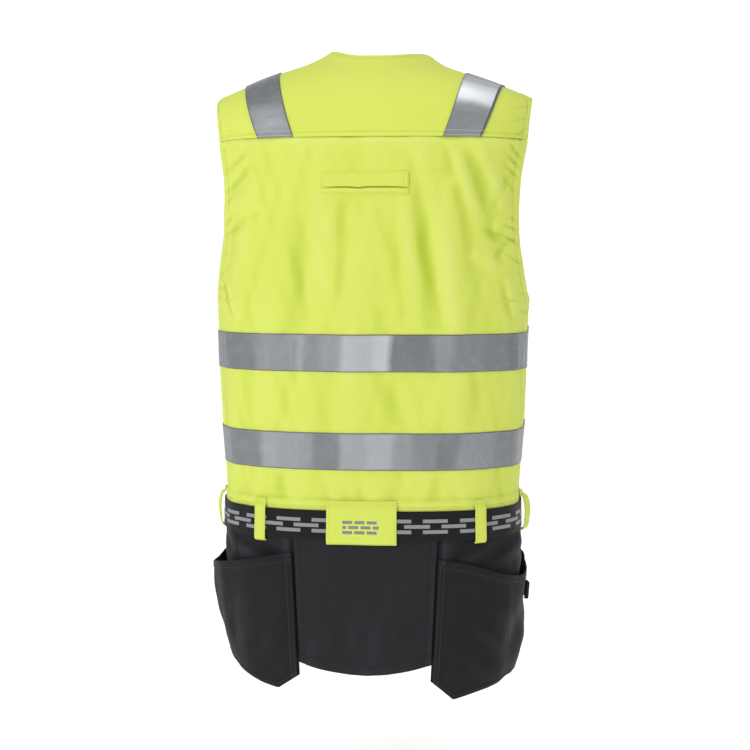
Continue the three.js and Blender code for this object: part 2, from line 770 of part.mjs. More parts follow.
function pouchLevel(word, edge, across) {
  const share = readStraight(pouchOutline, 'across', `${word}${edge}`, across);
  return hemLevel + pouchPanelLength * share;
}

// The shares across a pouch that its outline's corners need, with more between them
function pouchAcross(from, to, columns) {
  const corner = pouchOutline[1].across;
  const rest = evenly(corner, to, columns - 1);
  return [from, ...rest];
}

// Dark side panels, hanging from inside the hem to the pouch's pointed outline
function makeSidePanel(word, hand) {
  const columns = pouchAcross(0, 1, sidePanelColumns).map((across) => {
    const levels = darkLevels(pouchLevel(word, 'Bottom', across), pouchPanelLength);
    return levels.map((level) => darkPair(hand * pouchRound(across, level), level));
  });
  const rows = columns[0].map((_, i) => columns.map((column) => column[i]));
  addPiece(`side_panel_${word}`, closedSheet(rows), darkCloth);
}

// How far the pouch stands off its panel: widest at the mouth, nothing at its seams
function pouchBulge(across, down, depth) {
  const wide = Math.sin(Math.PI * Math.min(1, Math.max(0, across))) ** pouchRoundness;
  return depth * wide * (1 - down ** pouchFallCurve) ** pouchFallEnd;
}

function makePouch(word, hand, depth) {
  const span = pouchPanelLength;
  const inset = pouchSeamSetback / span;
  const rows = evenly(0, 1, pouchRows).map((down) =>
    pouchAcross(inset, 1 - inset, pouchColumns).map((across) => {
      const mouth = pouchLevel(word, 'Mouth', across);
      const bottom = pouchLevel(word, 'Bottom', across) - pouchSeamSetback;
      const level = mouth + (bottom - mouth) * down;
      const share = (across - inset) / (1 - 2 * inset);
      const lift = darkLift(level) + layerGap * 2 + pouchBulge(share, down, depth);
      const round = hand * pouchRound(across, level);
      return [roundBody(round, level, lift + darkWall), roundBody(round, level, lift)];
    }),
  );
  addPiece(`pouch_${word}`, closedSheet(rows), darkCloth);
}

// Lift of the right pouch's outer face, for what is sewn to it
function rightPouchFace(round, level) {
  const across = (round - pouchRound(0, level)) / (pouchRound(1, level) - pouchRound(0, level));
  const mouth = pouchLevel('right', 'Mouth', across);
  const bottom = pouchLevel('right', 'Bottom', across);
  const down = Math.max(0, Math.min(1, (level - mouth) / (bottom - mouth)));
  return darkLift(level) + layerGap * 2 + pouchBulge(across, down, pouchRightDepth) + darkWall;
}

// Folded tab on the right pouch's side, and the small pull above it
function makeSideTab() {
  const seat = (level, share = tabShare) => rightPouchFace(share, level) + layerGap * 2;
  const run = roundBody(tabShare + shareStep, tabLevel, 0).distanceTo(roundBody(tabShare, tabLevel, 0));
  const perShare = run / shareStep;
  const half = tabWidth / 2;
  const crest = half - tabThickness * 2;
  const path = [
    { aside: -half, out: 0 },
    { aside: -crest, out: tabReach },
    { aside: crest, out: tabReach },
    { aside: half, out: 0 },
  ];
  const rows = path.map((point, k) => {
    const before = path[Math.max(k - 1, 0)];
    const after = path[Math.min(k + 1, path.length - 1)];
    const way = new THREE.Vector2(after.aside - before.aside, after.out - before.out).normalize();
    const outer = { aside: point.aside - way.y * tabThickness, out: point.out + way.x * tabThickness };
    return evenly(tabLevel, tabLevel + tabHeight, 2).map((level) =>
      [outer, point].map(({ aside, out }) => {
        const share = tabShare + aside / perShare;
        return roundBody(share, level, seat(level, share) + out);
      }),
    );
  });
  addPiece('side_tab', closedSheet(rows), darkCloth);
  const pullTop = tabLevel - tabPullHeight;
  const pull = [
    { level: pullTop, lift: seat(pullTop) },
    { level: pullTop + tabPullHeight / 2, lift: seat(pullTop + tabPullHeight / 2) + tabThickness },
    { level: tabLevel - tabThickness - layerGap, lift: seat(tabLevel) },
  ];
  addPiece('side_tab_pull', strapOnBody(pull, tabShare, tabPullWidth, tabThickness, 1), yellowCloth);
}

// Front closure: tape behind the two edges with its teeth standing in the opening
function makeZip() {
  const levels = panelLevels('front', neckFrontLevel + seamGap);
  const tape = -(clothWall + layerGap);
  const profile = [
    { place: -zipTapeHalfWidth, lift: tape },
    { place: -zipTeethHalfWidth - zipTeethRoot, lift: tape },
    { place: -zipTeethHalfWidth, lift: tape + zipTeethHeight },
    { place: zipTeethHalfWidth, lift: tape + zipTeethHeight },
    { place: zipTeethHalfWidth + zipTeethRoot, lift: tape },
    { place: zipTapeHalfWidth, lift: tape },
  ];
  const rows = levels.map((level) =>
    profile.map(({ place, lift }) => {
      const share = shareAtPlace('front', place, level);
      return [onBody('front', share, level, lift), onBody('front', share, level, tape - zipTapeThickness)];
    }),
  );
  addPiece('front_zip', closedSheet(rows), darkCloth);
}

function makeSlider() {
  const outline = new THREE.Shape();
  const x = sliderWidth / 2;
  const pull = pullWidth / 2;
  outline.moveTo(-x, 0);
  outline.lineTo(-x, -sliderHeight);
  outline.lineTo(-pull, -sliderHeight);
  outline.lineTo(-pull, -sliderHeight - pullLength + pull);
  outline.absarc(0, -sliderHeight - pullLength + pull, pull, Math.PI, 2 * Math.PI);
  outline.lineTo(pull, -sliderHeight);
  outline.lineTo(x, -sliderHeight);
  outline.lineTo(x, 0);
  const geometry = plateFacingFront(outline, sliderThickness, 0);
  const top = neckFrontLevel + seamGap + sliderThickness;
  const foot = top + sliderHeight + pullLength;
  const piece = addPiece('zip_slider', geometry, blackPlastic);
  const high = onBody('front', 0, top, 0);
  const middle = onBody('front', 0, (top + foot) / 2, 0);
  const low = onBody('front', 0, foot, 0);
  const bow = middle.y - (high.y + low.y) / 2;
  piece.rotation.x = Math.atan2(low.y - high.y, foot - top);
  piece.position.set(0, high.y + bow + layerGap, high.z);
}

makeBackPanel();
makeYoke();
makeFrontPanel('front_panel_left', -1);
makeFrontPanel('front_panel_right', 1);
makeShoulderTape('shoulder_tape_left', -1, leftTapeSeamPlace, leftTapeTopPlace);
makeShoulderTape('shoulder_tape_right', 1, rightTapeSeamPlace, rightTapeTopPlace);
makeBandRound('upper_band', upperBandLevel);
makeBandRound('lower_band', lowerBandLevel);
makeSlotPatch();
makeBeltLoops();
makeBeltTunnel();
makeBelt();
makeBuckle();
makeLowerBackPanel();
makeSidePanel('left', -1);
makeSidePanel('right', 1);
makePouch('left', -1, pouchLeftDepth);
makePouch('right', 1, pouchRightDepth);
makeSideTab();
makeZip();
makeSlider();

export default vest;
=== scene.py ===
# %% [markdown]
# A utility work vest, seen from behind: bright cloth, reflective tape, a webbing belt in loops and dark
# hanging pouches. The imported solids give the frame: every piece at its real size and place, but faceted
# and plain. This lesson dresses that frame. Each cloth piece is made again from the same sizes on a much
# finer grid, with its folds, hems, stitches and weave, and then stands for its solid.

import math

import bpy
import numpy as np
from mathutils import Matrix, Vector
from mathutils.bvhtree import BVHTree


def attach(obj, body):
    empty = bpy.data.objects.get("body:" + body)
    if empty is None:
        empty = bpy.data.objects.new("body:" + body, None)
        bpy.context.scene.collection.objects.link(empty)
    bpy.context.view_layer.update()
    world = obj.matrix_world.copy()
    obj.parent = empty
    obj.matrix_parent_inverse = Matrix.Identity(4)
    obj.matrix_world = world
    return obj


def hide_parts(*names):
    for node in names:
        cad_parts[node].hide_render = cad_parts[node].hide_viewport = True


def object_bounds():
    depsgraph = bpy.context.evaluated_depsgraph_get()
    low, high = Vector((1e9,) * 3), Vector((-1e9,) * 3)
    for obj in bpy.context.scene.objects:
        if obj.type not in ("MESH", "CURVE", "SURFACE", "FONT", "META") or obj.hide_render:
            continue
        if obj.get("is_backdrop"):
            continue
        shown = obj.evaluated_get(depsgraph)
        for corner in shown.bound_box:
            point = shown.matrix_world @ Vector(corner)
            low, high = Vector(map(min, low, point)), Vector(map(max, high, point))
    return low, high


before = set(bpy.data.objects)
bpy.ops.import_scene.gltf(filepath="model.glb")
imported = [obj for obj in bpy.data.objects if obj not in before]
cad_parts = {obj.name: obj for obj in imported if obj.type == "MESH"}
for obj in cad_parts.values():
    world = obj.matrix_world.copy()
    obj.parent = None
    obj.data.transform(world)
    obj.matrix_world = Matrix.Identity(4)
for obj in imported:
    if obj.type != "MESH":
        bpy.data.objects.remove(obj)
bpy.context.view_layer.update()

# %% [markdown]
# The camera comes first, because every later choice is judged through it. It stands two metres behind the
# vest, a little to its right and above the middle, and looks slightly down. A long lens keeps the sides
# nearly parallel, as in a catalogue picture.

# %% Camera
camera_turn = math.radians(5.0)
camera_pitch = math.radians(4.84)
camera_distance = 2.0
camera_aside = 0.0028
camera_height = -0.236
camera_lens = 68.06

camera = bpy.data.objects.new("camera", bpy.data.cameras.new("camera"))
camera.data.sensor_width = 36
camera.data.lens = camera_lens
camera.location = (
    camera_distance * math.sin(camera_turn) + camera_aside * math.cos(camera_turn),
    -camera_distance * math.cos(camera_turn) + camera_aside * math.sin(camera_turn),
    camera_height,
)
camera.rotation_euler = (math.pi / 2 - camera_pitch, 0, camera_turn)
bpy.context.scene.collection.objects.link(camera)
bpy.context.scene.camera = camera
print("camera at", [round(c, 3) for c in camera.location])

# %% [markdown]
# The sizes below are the vest's own, in millimetres, as on a maker's pattern sheet. A level is a height
# measured downwards from the shoulders. Tables have named columns, so a row reads like a line of a pattern.

# %% Sizes
MM = 0.001
chest_half_width = 217
depths = {"back": 130, "front": 136}
body_length = 580
body_squareness = 2.6
cloth_wall = 2
seam_gap = 0.4
layer_gap = 0.3
shoulder_half_width = 220
shoulder_tip_drop = 22
shoulder_centre_rise = 42
shoulder_line_curve = 1.4
shoulder_squareness = 2.6
yoke_levels = {"back": 81, "front": 70}
underarm_level = 298
armhole_reaches = {"back": 52, "front": 66}
armhole_squareness = 2.3
tape_width = 50
tape_thickness = 0.9
hem_casing = {"height": 16, "thickness": 1.2}
belt_overlap = 3
belt_width = 40
belt_thickness = 2.4
belt_top = body_length - belt_overlap
belt_bottom = belt_top + belt_width
belt_inner = hem_casing["thickness"] + layer_gap
belt_outer = belt_inner + belt_thickness
front_band_lift = 6
zip_opening = 7


def table(columns, *rows):
    """A table with named columns, as a dictionary of arrays."""
    return dict(zip(columns.split(), np.array(rows, float).T))


# Sections of the body. at: level as a share of the body's length. The others are shares of the chest's
# half width and depths.
sections = table(
    "at wide_back wide_front back front",
    (0.00, 1.030, 1.040, 0.86, 0.80),
    (0.14, 1.016, 1.030, 0.95, 0.90),
    (0.24, 0.980, 0.995, 0.99, 0.97),
    (0.36, 0.973, 0.985, 1.00, 1.00),
    (0.44, 0.990, 1.005, 1.00, 1.00),
    (0.51, 1.000, 1.008, 0.99, 1.00),
    (0.63, 0.997, 0.997, 0.97, 0.99),
    (0.73, 0.990, 0.990, 0.96, 0.98),
    (0.81, 0.980, 0.980, 0.95, 0.97),
    (0.90, 0.962, 0.962, 0.95, 0.97),
    (1.00, 0.950, 0.950, 0.97, 0.97),
    (1.10, 0.954, 0.954, 0.99, 0.97),
    (1.25, 0.930, 0.930, 1.01, 0.96),
    (1.46, 0.910, 0.910, 1.01, 0.95),
)

# Soft vertical folds. start, end: place round the body, 0 at the centre back and 1 at the right side seam.
# top, bottom: levels as shares of the body's length. depth: share of the fold height. width: share round.
fold_height = 4
folds = table(
    "start end top bottom depth width",
    (0.22, 0.31, 0.18, 0.66, -1.00, 0.050),
    (0.30, 0.37, 0.22, 0.98, 0.85, 0.060),
    (-0.04, -0.08, 0.30, 1.00, 0.60, 0.090),
    (-0.26, -0.31, 0.30, 0.96, -0.60, 0.080),
    (-0.46, -0.60, 0.22, 0.60, 0.60, 0.070),
    (0.46, 0.58, 0.18, 0.46, -0.80, 0.060),
    (0.60, 0.68, 0.36, 0.98, 0.80, 0.080),
    (0.09, 0.12, 0.52, 1.00, -0.65, 0.070),
    (-0.76, -0.70, 0.44, 0.96, -0.70, 0.080),
    (-1.42, -1.36, 0.30, 0.98, 0.80, 0.090),
    (1.38, 1.44, 0.34, 0.98, -0.80, 0.090),
    (1.66, 1.60, 0.40, 0.98, 0.60, 0.070),
)
print("body sections:", len(sections["at"]), "folds:", len(folds["depth"]))

# %% [markdown]
# The body is a rounded square in section: flatter at the back and front than an oval, with soft corners at
# the sides. Working on whole arrays of points with numpy, instead of point by point, keeps a grid of thirty
# thousand points fast.

# %% The body's surface


def smooth_step(t):
    """0 before 0, 1 after 1, and a soft rise between."""
    t = np.clip(t, 0, 1)
    return t * t * (3 - 2 * t)


def bump_at(value, centre, width):
    """A soft bump of height 1 at a centre."""
    return np.exp(-(((value - centre) / width) ** 2))


def read_table(columns, key, value):
    """A column of the body's sections, with a smooth curve through its rows."""
    at, column = columns["at"], columns[key]
    last = len(at) - 1
    value = np.clip(value, at[0], at[-1])
    i = np.clip(np.searchsorted(at, value, side="right") - 1, 0, last - 1)
    span = at[i + 1] - at[i]
    t = (value - at[i]) / span

    def slope(k):
        before, after = np.maximum(k - 1, 0), np.minimum(k + 1, last)
        return (column[after] - column[before]) / (at[after] - at[before]) * span

    straight = column[i] + (column[i + 1] - column[i]) * t * t * (3 - 2 * t)
    return straight + t * (1 - t) * ((1 - t) * slope(i) - t * slope(i + 1))


def rounded_quarter(share, squareness):
    """A point of a rounded square of half size 1, by share of the quarter turn from its middle."""
    angle = np.asarray(share, float) * np.pi / 2
    across, along = np.sin(angle), np.cos(angle)
    reach = (np.abs(across) ** squareness + np.abs(along) ** squareness) ** (-1 / squareness)
    return reach * across, reach * along


def share_across(part, squareness):
    """The share of the quarter turn at which the rounded square reaches a part of its half width."""
    part = np.clip(part, -1, 1)
    along = (1 - np.abs(part) ** squareness) ** (1 / squareness)
    return np.arctan2(part, along) / (np.pi / 2)


def half_width_at(side, level):
    return chest_half_width * read_table(sections, "wide_" + side, level / body_length)


def depth_at(side, level):
    return depths[side] * read_table(sections, side, level / body_length)


def armhole_reach(side, level):
    """How far an armhole's edge stands behind or in front of the side line."""
    middle = (shoulder_tip_drop + underarm_level) / 2
    half = (underarm_level - shoulder_tip_drop) / 2
    away = np.clip(np.abs((level - middle) / half), 0, 1)
    return armhole_reaches[side] * (1 - away**armhole_squareness) ** (1 / armhole_squareness)


def edge_share(side, level):
    """Where a panel ends: at its side seam, or at its armhole's edge."""
    reach = armhole_reach(side, level) + seam_gap / 2
    return 1 - share_across(reach / depth_at(side, level), body_squareness)


def share_at_place(side, place, level):
    """The share at which a panel reaches a sideways place."""
    return share_across(place / half_width_at(side, level), body_squareness) / edge_share(side, level)


def bare_body(side, share, level):
    """The smooth body. share runs from -1 at the left edge of a panel to 1 at its right edge."""
    level = np.asarray(level, float)
    across, along = rounded_quarter(share * edge_share(side, level), body_squareness)
    y = depth_at(side, level) * along * (-1 if side == "back" else 1)
    return np.stack(np.broadcast_arrays(half_width_at(side, level) * across, y, -level), -1)


def outward_normal(surface, u, v, du, dv):
    """The surface's unit normal, from small steps both ways."""
    normal = np.cross(surface(u + du, v) - surface(u - du, v), surface(u, v + dv) - surface(u, v - dv))
    return normal / np.linalg.norm(normal, axis=-1, keepdims=True)


back_middle = bare_body("back", 0.0, 200.0)
print("centre back at chest level:", np.round(back_middle, 1))

# %% [markdown]
# Hanging cloth is never quite even. The wide folds come from the table. Smaller unevenness is a sum of a
# few sine waves with seeded random directions: it costs nothing, repeats each run, and its waves can be
# made long downwards and short across, as cloth that hangs from the shoulders has them.

# %% Folds and unevenness
round_length = 330


def uneven(seed, u, v, wave_u, wave_v, count=7):
    """Soft random unevenness of height about 1, with the given wave lengths."""
    draw = np.random.default_rng(seed)
    total = 0
    for _ in range(count):
        a, b = draw.uniform(0.5, 1.3, 2) * draw.choice([-1, 1], 2)
        total = total + np.sin(2 * np.pi * (a * u / wave_u + b * v / wave_v + draw.uniform()))
    return total / math.sqrt(count)


def fold_at(place, level):
    """The wide folds, in millimetres off the smooth body."""
    share = level / body_length
    height = 0
    for start, end, top, bottom, depth, width in zip(*folds.values()):
        t = np.clip((share - top) / (bottom - top), 0, 1)
        away = (place - start - (end - start) * t) / width
        height = height + depth * np.exp(-away * away) * np.sin(np.pi * t) ** 0.7
    return height * fold_height


def body_lift(place, level):
    """Folds and unevenness, which all layers on the body share so that none cuts through another."""
    across = place * round_length
    return (
        fold_at(place, level)
        + 0.6 * uneven(3, across, level, 66, 420)
        + 0.16 * uneven(5, across, level, 24, 90)
    )


def place_round(side, share, level):
    """Place round the body of a panel's share, which the armhole makes smaller."""
    turned = share * edge_share(side, level)
    return turned if side == "back" else np.sign(share) * (2 - np.abs(turned))


def on_body(side, share, level, offset):
    """A point of the body with its folds, lifted off the surface by an offset."""
    share, level = np.broadcast_arrays(np.asarray(share, float), np.asarray(level, float))
    normal = outward_normal(lambda u, v: bare_body(side, u, v), share, level, 0.01, 2)
    if side == "back":
        normal = -normal
    lift = body_lift(place_round(side, share, level), level) + offset
    return bare_body(side, share, level) + normal * lift[..., None]


def round_body(place, level, offset):
    """The same by place round the body: 0 centre back, 1 and -1 the side seams, 2 the centre front."""
    place, level, offset = np.broadcast_arrays(*(np.asarray(a, float) for a in (place, level, offset)))
    back = on_body("back", np.clip(place, -1, 1), level, offset)
    front = on_body("front", np.sign(place) * (2 - np.abs(place)), level, offset)
    return np.where((np.abs(place) <= 1)[..., None], back, front)


level_test = np.linspace(0, body_length, 5)
print("fold heights down the back:", np.round(fold_at(0.3, level_test), 1))

# %% [markdown]
# Every cloth piece is a shell: an outer and an inner grid that meet in a rounded edge, so a cut or folded
# edge shows its thickness and catches light. One function makes them all. The shell's wall thins towards
# its border like half a circle, and extra grid lines close to the border keep that curve round. A shell also
# stores how deep each point lies in a fold, for painted shade in hollows and painted highlight on ridges.

# %% Shells
grids = {}
shoulder_slip = 6
hollow_scales = ((2, 2.0), (6, 4.4))


def spaced(low, high, count, edge):
    """Even values from low to high, with extra ones near both ends for the rounded edge."""
    near = edge * np.array([0, 0.08, 0.3, 0.65, 1.0])
    middle = np.linspace(low + edge, high - edge, count)
    return np.concatenate([low + near[:-1], middle, (high - near[:-1])[::-1]])


def edge_round(values, edge):
    """How thick the wall is along a list of values: 0 at both ends, 1 from the edge width on."""
    q = np.clip(np.minimum(values - values[0], values[-1] - values) / edge, 0, 1)
    return np.sqrt(1 - (1 - q) ** 2)


def grid_normals(points, inside, joined=False):
    """Unit normals of a grid of points, turned away from a point inside."""
    if joined:
        wide = np.concatenate([points[:, -1:], points, points[:, :1]], 1)
        along = (wide[:, 2:] - wide[:, :-2]) / 2
    else:
        along = np.gradient(points, axis=1)
    normal = np.cross(along, np.gradient(points, axis=0))
    normal /= np.maximum(np.linalg.norm(normal, axis=-1, keepdims=True), 1e-9)
    turn = np.sign(np.mean(np.sum(normal * (points - np.asarray(inside, float)), -1)))
    return normal * turn


def flat_map(points):
    """Places on the cloth as if it were laid flat: metres across and down, for the weave."""
    across = np.linalg.norm(np.diff(points, axis=1), axis=-1).mean(0)
    down = np.linalg.norm(np.diff(points, axis=0), axis=-1).mean(1)
    u = np.concatenate([[0], np.cumsum(across)]) * MM
    v = np.concatenate([[0], np.cumsum(down)]) * MM
    return np.stack(np.broadcast_arrays(u[None, :], v[:, None]), -1)


def new_piece(name, points, faces, material, flat=None):
    """A mesh object in metres from points in millimetres. flat gives each point its place on flat cloth."""
    mesh = bpy.data.meshes.new(name)
    mesh.from_pydata((np.asarray(points) * MM).tolist(), [], faces)
    if flat is not None:
        corners = np.zeros(len(mesh.loops), np.int32)
        mesh.loops.foreach_get("vertex_index", corners)
        layer = mesh.uv_layers.new(name="cloth")
        layer.uv.foreach_set("vector", np.asarray(flat, np.float32)[corners].ravel())
    mesh.polygons.foreach_set("use_smooth", np.ones(len(mesh.polygons), bool))
    mesh.materials.append(material)
    piece = bpy.data.objects.new(name, mesh)
    bpy.context.scene.collection.objects.link(piece)
    return piece


def settled(points):
    """The left shoulder lies a few millimetres nearer to the neck than the right one."""
    side = smooth_step((-points[..., 0] - 130) / 90)
    height = smooth_step((points[..., 2] + 290) / 250)
    moved = points.copy()
    moved[..., 0] += shoulder_slip * side * height
    return moved


def blurred(field, reach):
    """The mean of a grid of numbers over a square window round each."""
    window = np.ones(2 * reach + 1) / (2 * reach + 1)
    for axis in (0, 1):
        ends = [(reach, reach) if k == axis else (0, 0) for k in (0, 1)]
        padded = np.pad(field, ends, "edge")
        field = np.apply_along_axis(np.convolve, axis, padded, window, "valid")
    return field


def moved_rows(field, old_places, new_places):
    """A grid of numbers read at other places of each row."""
    return np.array([np.interp(*row) for row in zip(new_places, old_places, field)])


def hollows(relief, places=None):
    """How deep each point of a grid lies in a fold: up to 1 in a hollow, down to -1 on a ridge.

    places is where each point of a row lies, for a grid that an armhole makes narrower.
    """
    if places is not None:
        even = np.broadcast_to(np.linspace(places.min(), places.max(), places.shape[1]), places.shape)
        relief = moved_rows(relief, places, even)
    depth = sum((blurred(relief, reach) - relief) / full for reach, full in hollow_scales)
    if places is not None:
        depth = moved_rows(depth, even, places)
    return np.clip(depth, -1, 1)


def shell(name, outer, wall, round_u, round_v, material, inside, joined=False, hollow=None):
    """A closed sheet with rounded edges from a grid of its outer surface."""
    outer = settled(outer)
    rows, columns = outer.shape[:2]
    normal = grid_normals(outer, inside, joined)
    thick = np.minimum(np.ones(columns) if joined else round_u, round_v[:, None])
    wall = np.broadcast_to(np.asarray(wall, float), thick.shape)
    upper = outer - normal * (wall * (1 - thick) / 2)[..., None]
    lower = outer - normal * (wall * (1 + thick) / 2)[..., None]
    top = np.arange(rows * columns).reshape(rows, columns)
    inner = np.zeros((rows, columns), bool)
    inner[1:-1, :] = True
    if not joined:
        inner[:, [0, -1]] = False
    under = top.copy()
    under[inner] = rows * columns + np.arange(inner.sum())
    if joined:
        top = np.concatenate([top, top[:, :1]], 1)
        under = np.concatenate([under, under[:, :1]], 1)

    def quads(index):
        return np.stack([index[:-1, :-1], index[1:, :-1], index[1:, 1:], index[:-1, 1:]], -1).reshape(-1, 4)

    middle = (rows // 2, columns // 2)
    a, b, c = outer[middle], outer[middle[0] + 1, middle[1]], outer[middle[0], middle[1] + 1]
    facing = np.dot(np.cross(b - a, c - a), normal[middle]) > 0
    first, second = quads(top), quads(under)
    faces = np.concatenate([first, second[:, ::-1]] if facing else [first[:, ::-1], second])
    flat = flat_map(outer)
    grids[name] = outer
    points = np.concatenate([upper.reshape(-1, 3), lower[inner]])
    places = np.concatenate([flat.reshape(-1, 2), flat[inner]])
    piece = new_piece(name, points, faces.tolist(), material, places)
    if hollow is not None:
        stored = piece.data.attributes.new("hollow", "FLOAT", "POINT")
        stored.data.foreach_set("value", np.concatenate([hollow.ravel(), hollow[inner]]).astype(np.float32))
    return piece


def dress(piece, node):
    """The piece rides on the vest's one body and stands for its solid."""
    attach(piece, "root")
    if node:
        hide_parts(node)
    return piece


print("shell tools ready")

# %% [markdown]
# Sewing shows in two ways. The cloth dips at a row of stitches and puckers beside it, which is part of the
# grid, and the thread itself lies on top as small rounded stitches. The thread is real geometry here,
# because its shadows and glints survive any zoom. All stitches of a piece are one mesh.

# %% Stitches


pucker_slant = 0.45


def distance_to(points, line):
    """The distance of each point to a line of points, and how far along the line that is."""
    run = np.concatenate([[0], np.cumsum(np.linalg.norm(np.diff(line, axis=0), axis=1))])
    flat = points.reshape(-1, 3)
    nearest = np.empty(len(flat))
    place = np.empty(len(flat))
    for start in range(0, len(flat), 4000):
        part = flat[start:start + 4000]
        gap = np.linalg.norm(part[:, None] - line[None], axis=-1)
        k = gap.argmin(1)
        nearest[start:start + 4000] = gap[np.arange(len(part)), k]
        place[start:start + 4000] = run[k]
    return nearest.reshape(points.shape[:-1]), place.reshape(points.shape[:-1])


def sewn_edge(distance, along, inset, pucker, pitch=17, seed=1):
    """The lift of cloth beside an edge that is turned in and stitched down at an inset."""
    turned = 0.5 * smooth_step((inset - distance) / 1.5)
    groove = -0.7 * bump_at(distance, inset, 1.3)
    slant = pucker_slant * (distance - inset) / pitch
    phase = 2 * np.pi * (along / pitch + slant + 0.3 * np.sin(2 * np.pi * along / (pitch * 4.3) + seed))
    strength = 0.6 + 0.4 * np.sin(2 * np.pi * along / (pitch * 6.1) + 2 * seed)
    reach = np.where(distance < inset, inset * 0.5, inset * 1.05)
    dimples = np.maximum(np.sin(phase), 0) ** 2 - 0.25
    return turned + groove - pucker * strength * dimples * np.exp(-(((distance - inset) / reach) ** 2))


def resample(line, step):
    """Points at even steps along a line."""
    line = np.asarray(line, float)
    run = np.concatenate([[0], np.cumsum(np.linalg.norm(np.diff(line, axis=0), axis=1))])
    count = max(2, int(run[-1] / step) + 1)
    at = np.linspace(0, run[-1], count)
    return np.stack([np.interp(at, run, line[:, k]) for k in range(3)], -1)


def border(piece, side, inset, start=0.0, stop=1.0):
    """A line along a border of a piece's grid, at an inset from it. start and stop are shares of it."""
    grid = grids[piece.name]
    if side in ("left", "right"):
        grid = grid.transpose(1, 0, 2)
    if side in ("right", "bottom"):
        grid = grid[::-1]
    run = np.concatenate([np.zeros((1, grid.shape[1])), np.cumsum(np.linalg.norm(np.diff(grid, axis=0), axis=-1), 0)])
    line = [[np.interp(inset, run[:, k], grid[:, k, axis]) for axis in range(3)] for k in range(grid.shape[1])]
    line = np.array(line)
    return line[int(start * len(line)):max(int(stop * len(line)), 2)]


def beside(line, inset, towards):
    """A line moved sideways by an inset, to the side where a point lies."""
    ahead = np.gradient(line, axis=0)
    ahead /= np.linalg.norm(ahead, axis=1, keepdims=True)
    way = np.asarray(towards, float) - line
    way -= ahead * np.sum(way * ahead, -1, keepdims=True)
    return line + way / np.linalg.norm(way, axis=1, keepdims=True) * inset


def stitch_shapes(ends, normals, thick):
    """Points and faces of many stitches, each a small spindle from one end to the other."""
    start, stop = ends
    ahead = stop - start
    length = np.linalg.norm(ahead, axis=1, keepdims=True)
    ahead = ahead / np.maximum(length, 1e-9)
    aside = np.cross(normals, ahead)
    up = np.cross(ahead, aside)
    points = [start - up * thick * 0.3]
    for share in (0.22, 0.78):
        centre = start + ahead * length * share + up * thick * 0.25
        for angle in (45, 135, 225, 315):
            turn = math.radians(angle)
            points.append(centre + (aside * math.cos(turn) + up * math.sin(turn)) * thick * 0.62)
    points.append(stop - up * thick * 0.3)
    points = np.stack(points, 1)
    faces = [(0, 1 + (k + 1) % 4, 1 + k) for k in range(4)]
    faces += [(1 + k, 1 + (k + 1) % 4, 5 + (k + 1) % 4, 5 + k) for k in range(4)]
    faces += [(9, 5 + k, 5 + (k + 1) % 4) for k in range(4)]
    return points, faces


class Sewing:
    """Collects rows of stitches on pieces, and makes them one piece."""

    def __init__(self, name, material, slot, thick=0.55, pitch=3.2):
        self.name, self.material, self.slot = name, material, slot
        self.thick, self.pitch = thick, pitch
        self.points, self.faces, self.count = [], [], 0

    def row(self, carrier, line, pitch=None, fill=0.78):
        """A row of stitches along a line, laid on the surface of its carrier."""
        pitch = pitch or self.pitch
        tree = trees.get(carrier.name) or tree_of(carrier)
        places = resample(line, pitch)
        hits = [tree.find_nearest(Vector(p * MM)) for p in places]
        at = np.array([hit[0] for hit in hits]) / MM
        normals = np.array([hit[1] for hit in hits])
        ahead = np.diff(at, axis=0)
        points, faces = stitch_shapes((at[:-1], at[:-1] + ahead * fill), normals[:-1], self.thick)
        for k in range(len(points)):
            self.faces += [tuple(self.count + 10 * k + i for i in face) for face in faces]
        self.points.append(points.reshape(-1, 3))
        self.count += 10 * len(points)

    def finish(self):
        piece = new_piece(self.name, np.concatenate(self.points), self.faces, self.material)
        print(self.name, "stitches:", self.count // 10)
        return dress(piece, None)


trees = {}


def tree_of(carrier):
    """A search tree of a piece's faces, to lay things on its surface."""
    mesh = carrier.data
    tree = BVHTree.FromPolygons([v.co for v in mesh.vertices], [p.vertices for p in mesh.polygons])
    trees[carrier.name] = tree
    return tree


print("stitch tools ready")

# %% [markdown]
# Materials are node graphs. Written as Python, a graph reads like a formula: one small class wraps a
# socket and gives it the usual operators, and one method adds any other node. The finishes are worked out
# from each piece's flat map, in metres, so a weave keeps its real scale on every piece.

# %% Shader tools


class Wire:
    """An output socket that Python's operators work on."""

    def __init__(self, graph, socket):
        self.graph, self.socket = graph, socket

    def math(self, operation, *values):
        inputs = dict(enumerate([self, *values]))
        return self.graph.add("ShaderNodeMath", {"operation": operation}, inputs)

    def __add__(self, other):
        return self.math("ADD", other)

    def __mul__(self, other):
        return self.math("MULTIPLY", other)

    def __sub__(self, other):
        return self.math("SUBTRACT", other)

    def __truediv__(self, other):
        return self.math("DIVIDE", other)

    def __rsub__(self, other):
        return self.graph.add("ShaderNodeMath", {"operation": "SUBTRACT"}, {0: other, 1: self})

    def __lt__(self, other):
        return self.math("LESS_THAN", other)

    def __gt__(self, other):
        return self.math("GREATER_THAN", other)

    __radd__ = __add__
    __rmul__ = __mul__

    def output(self, name):
        return Wire(self.graph, self.socket.node.outputs[name])


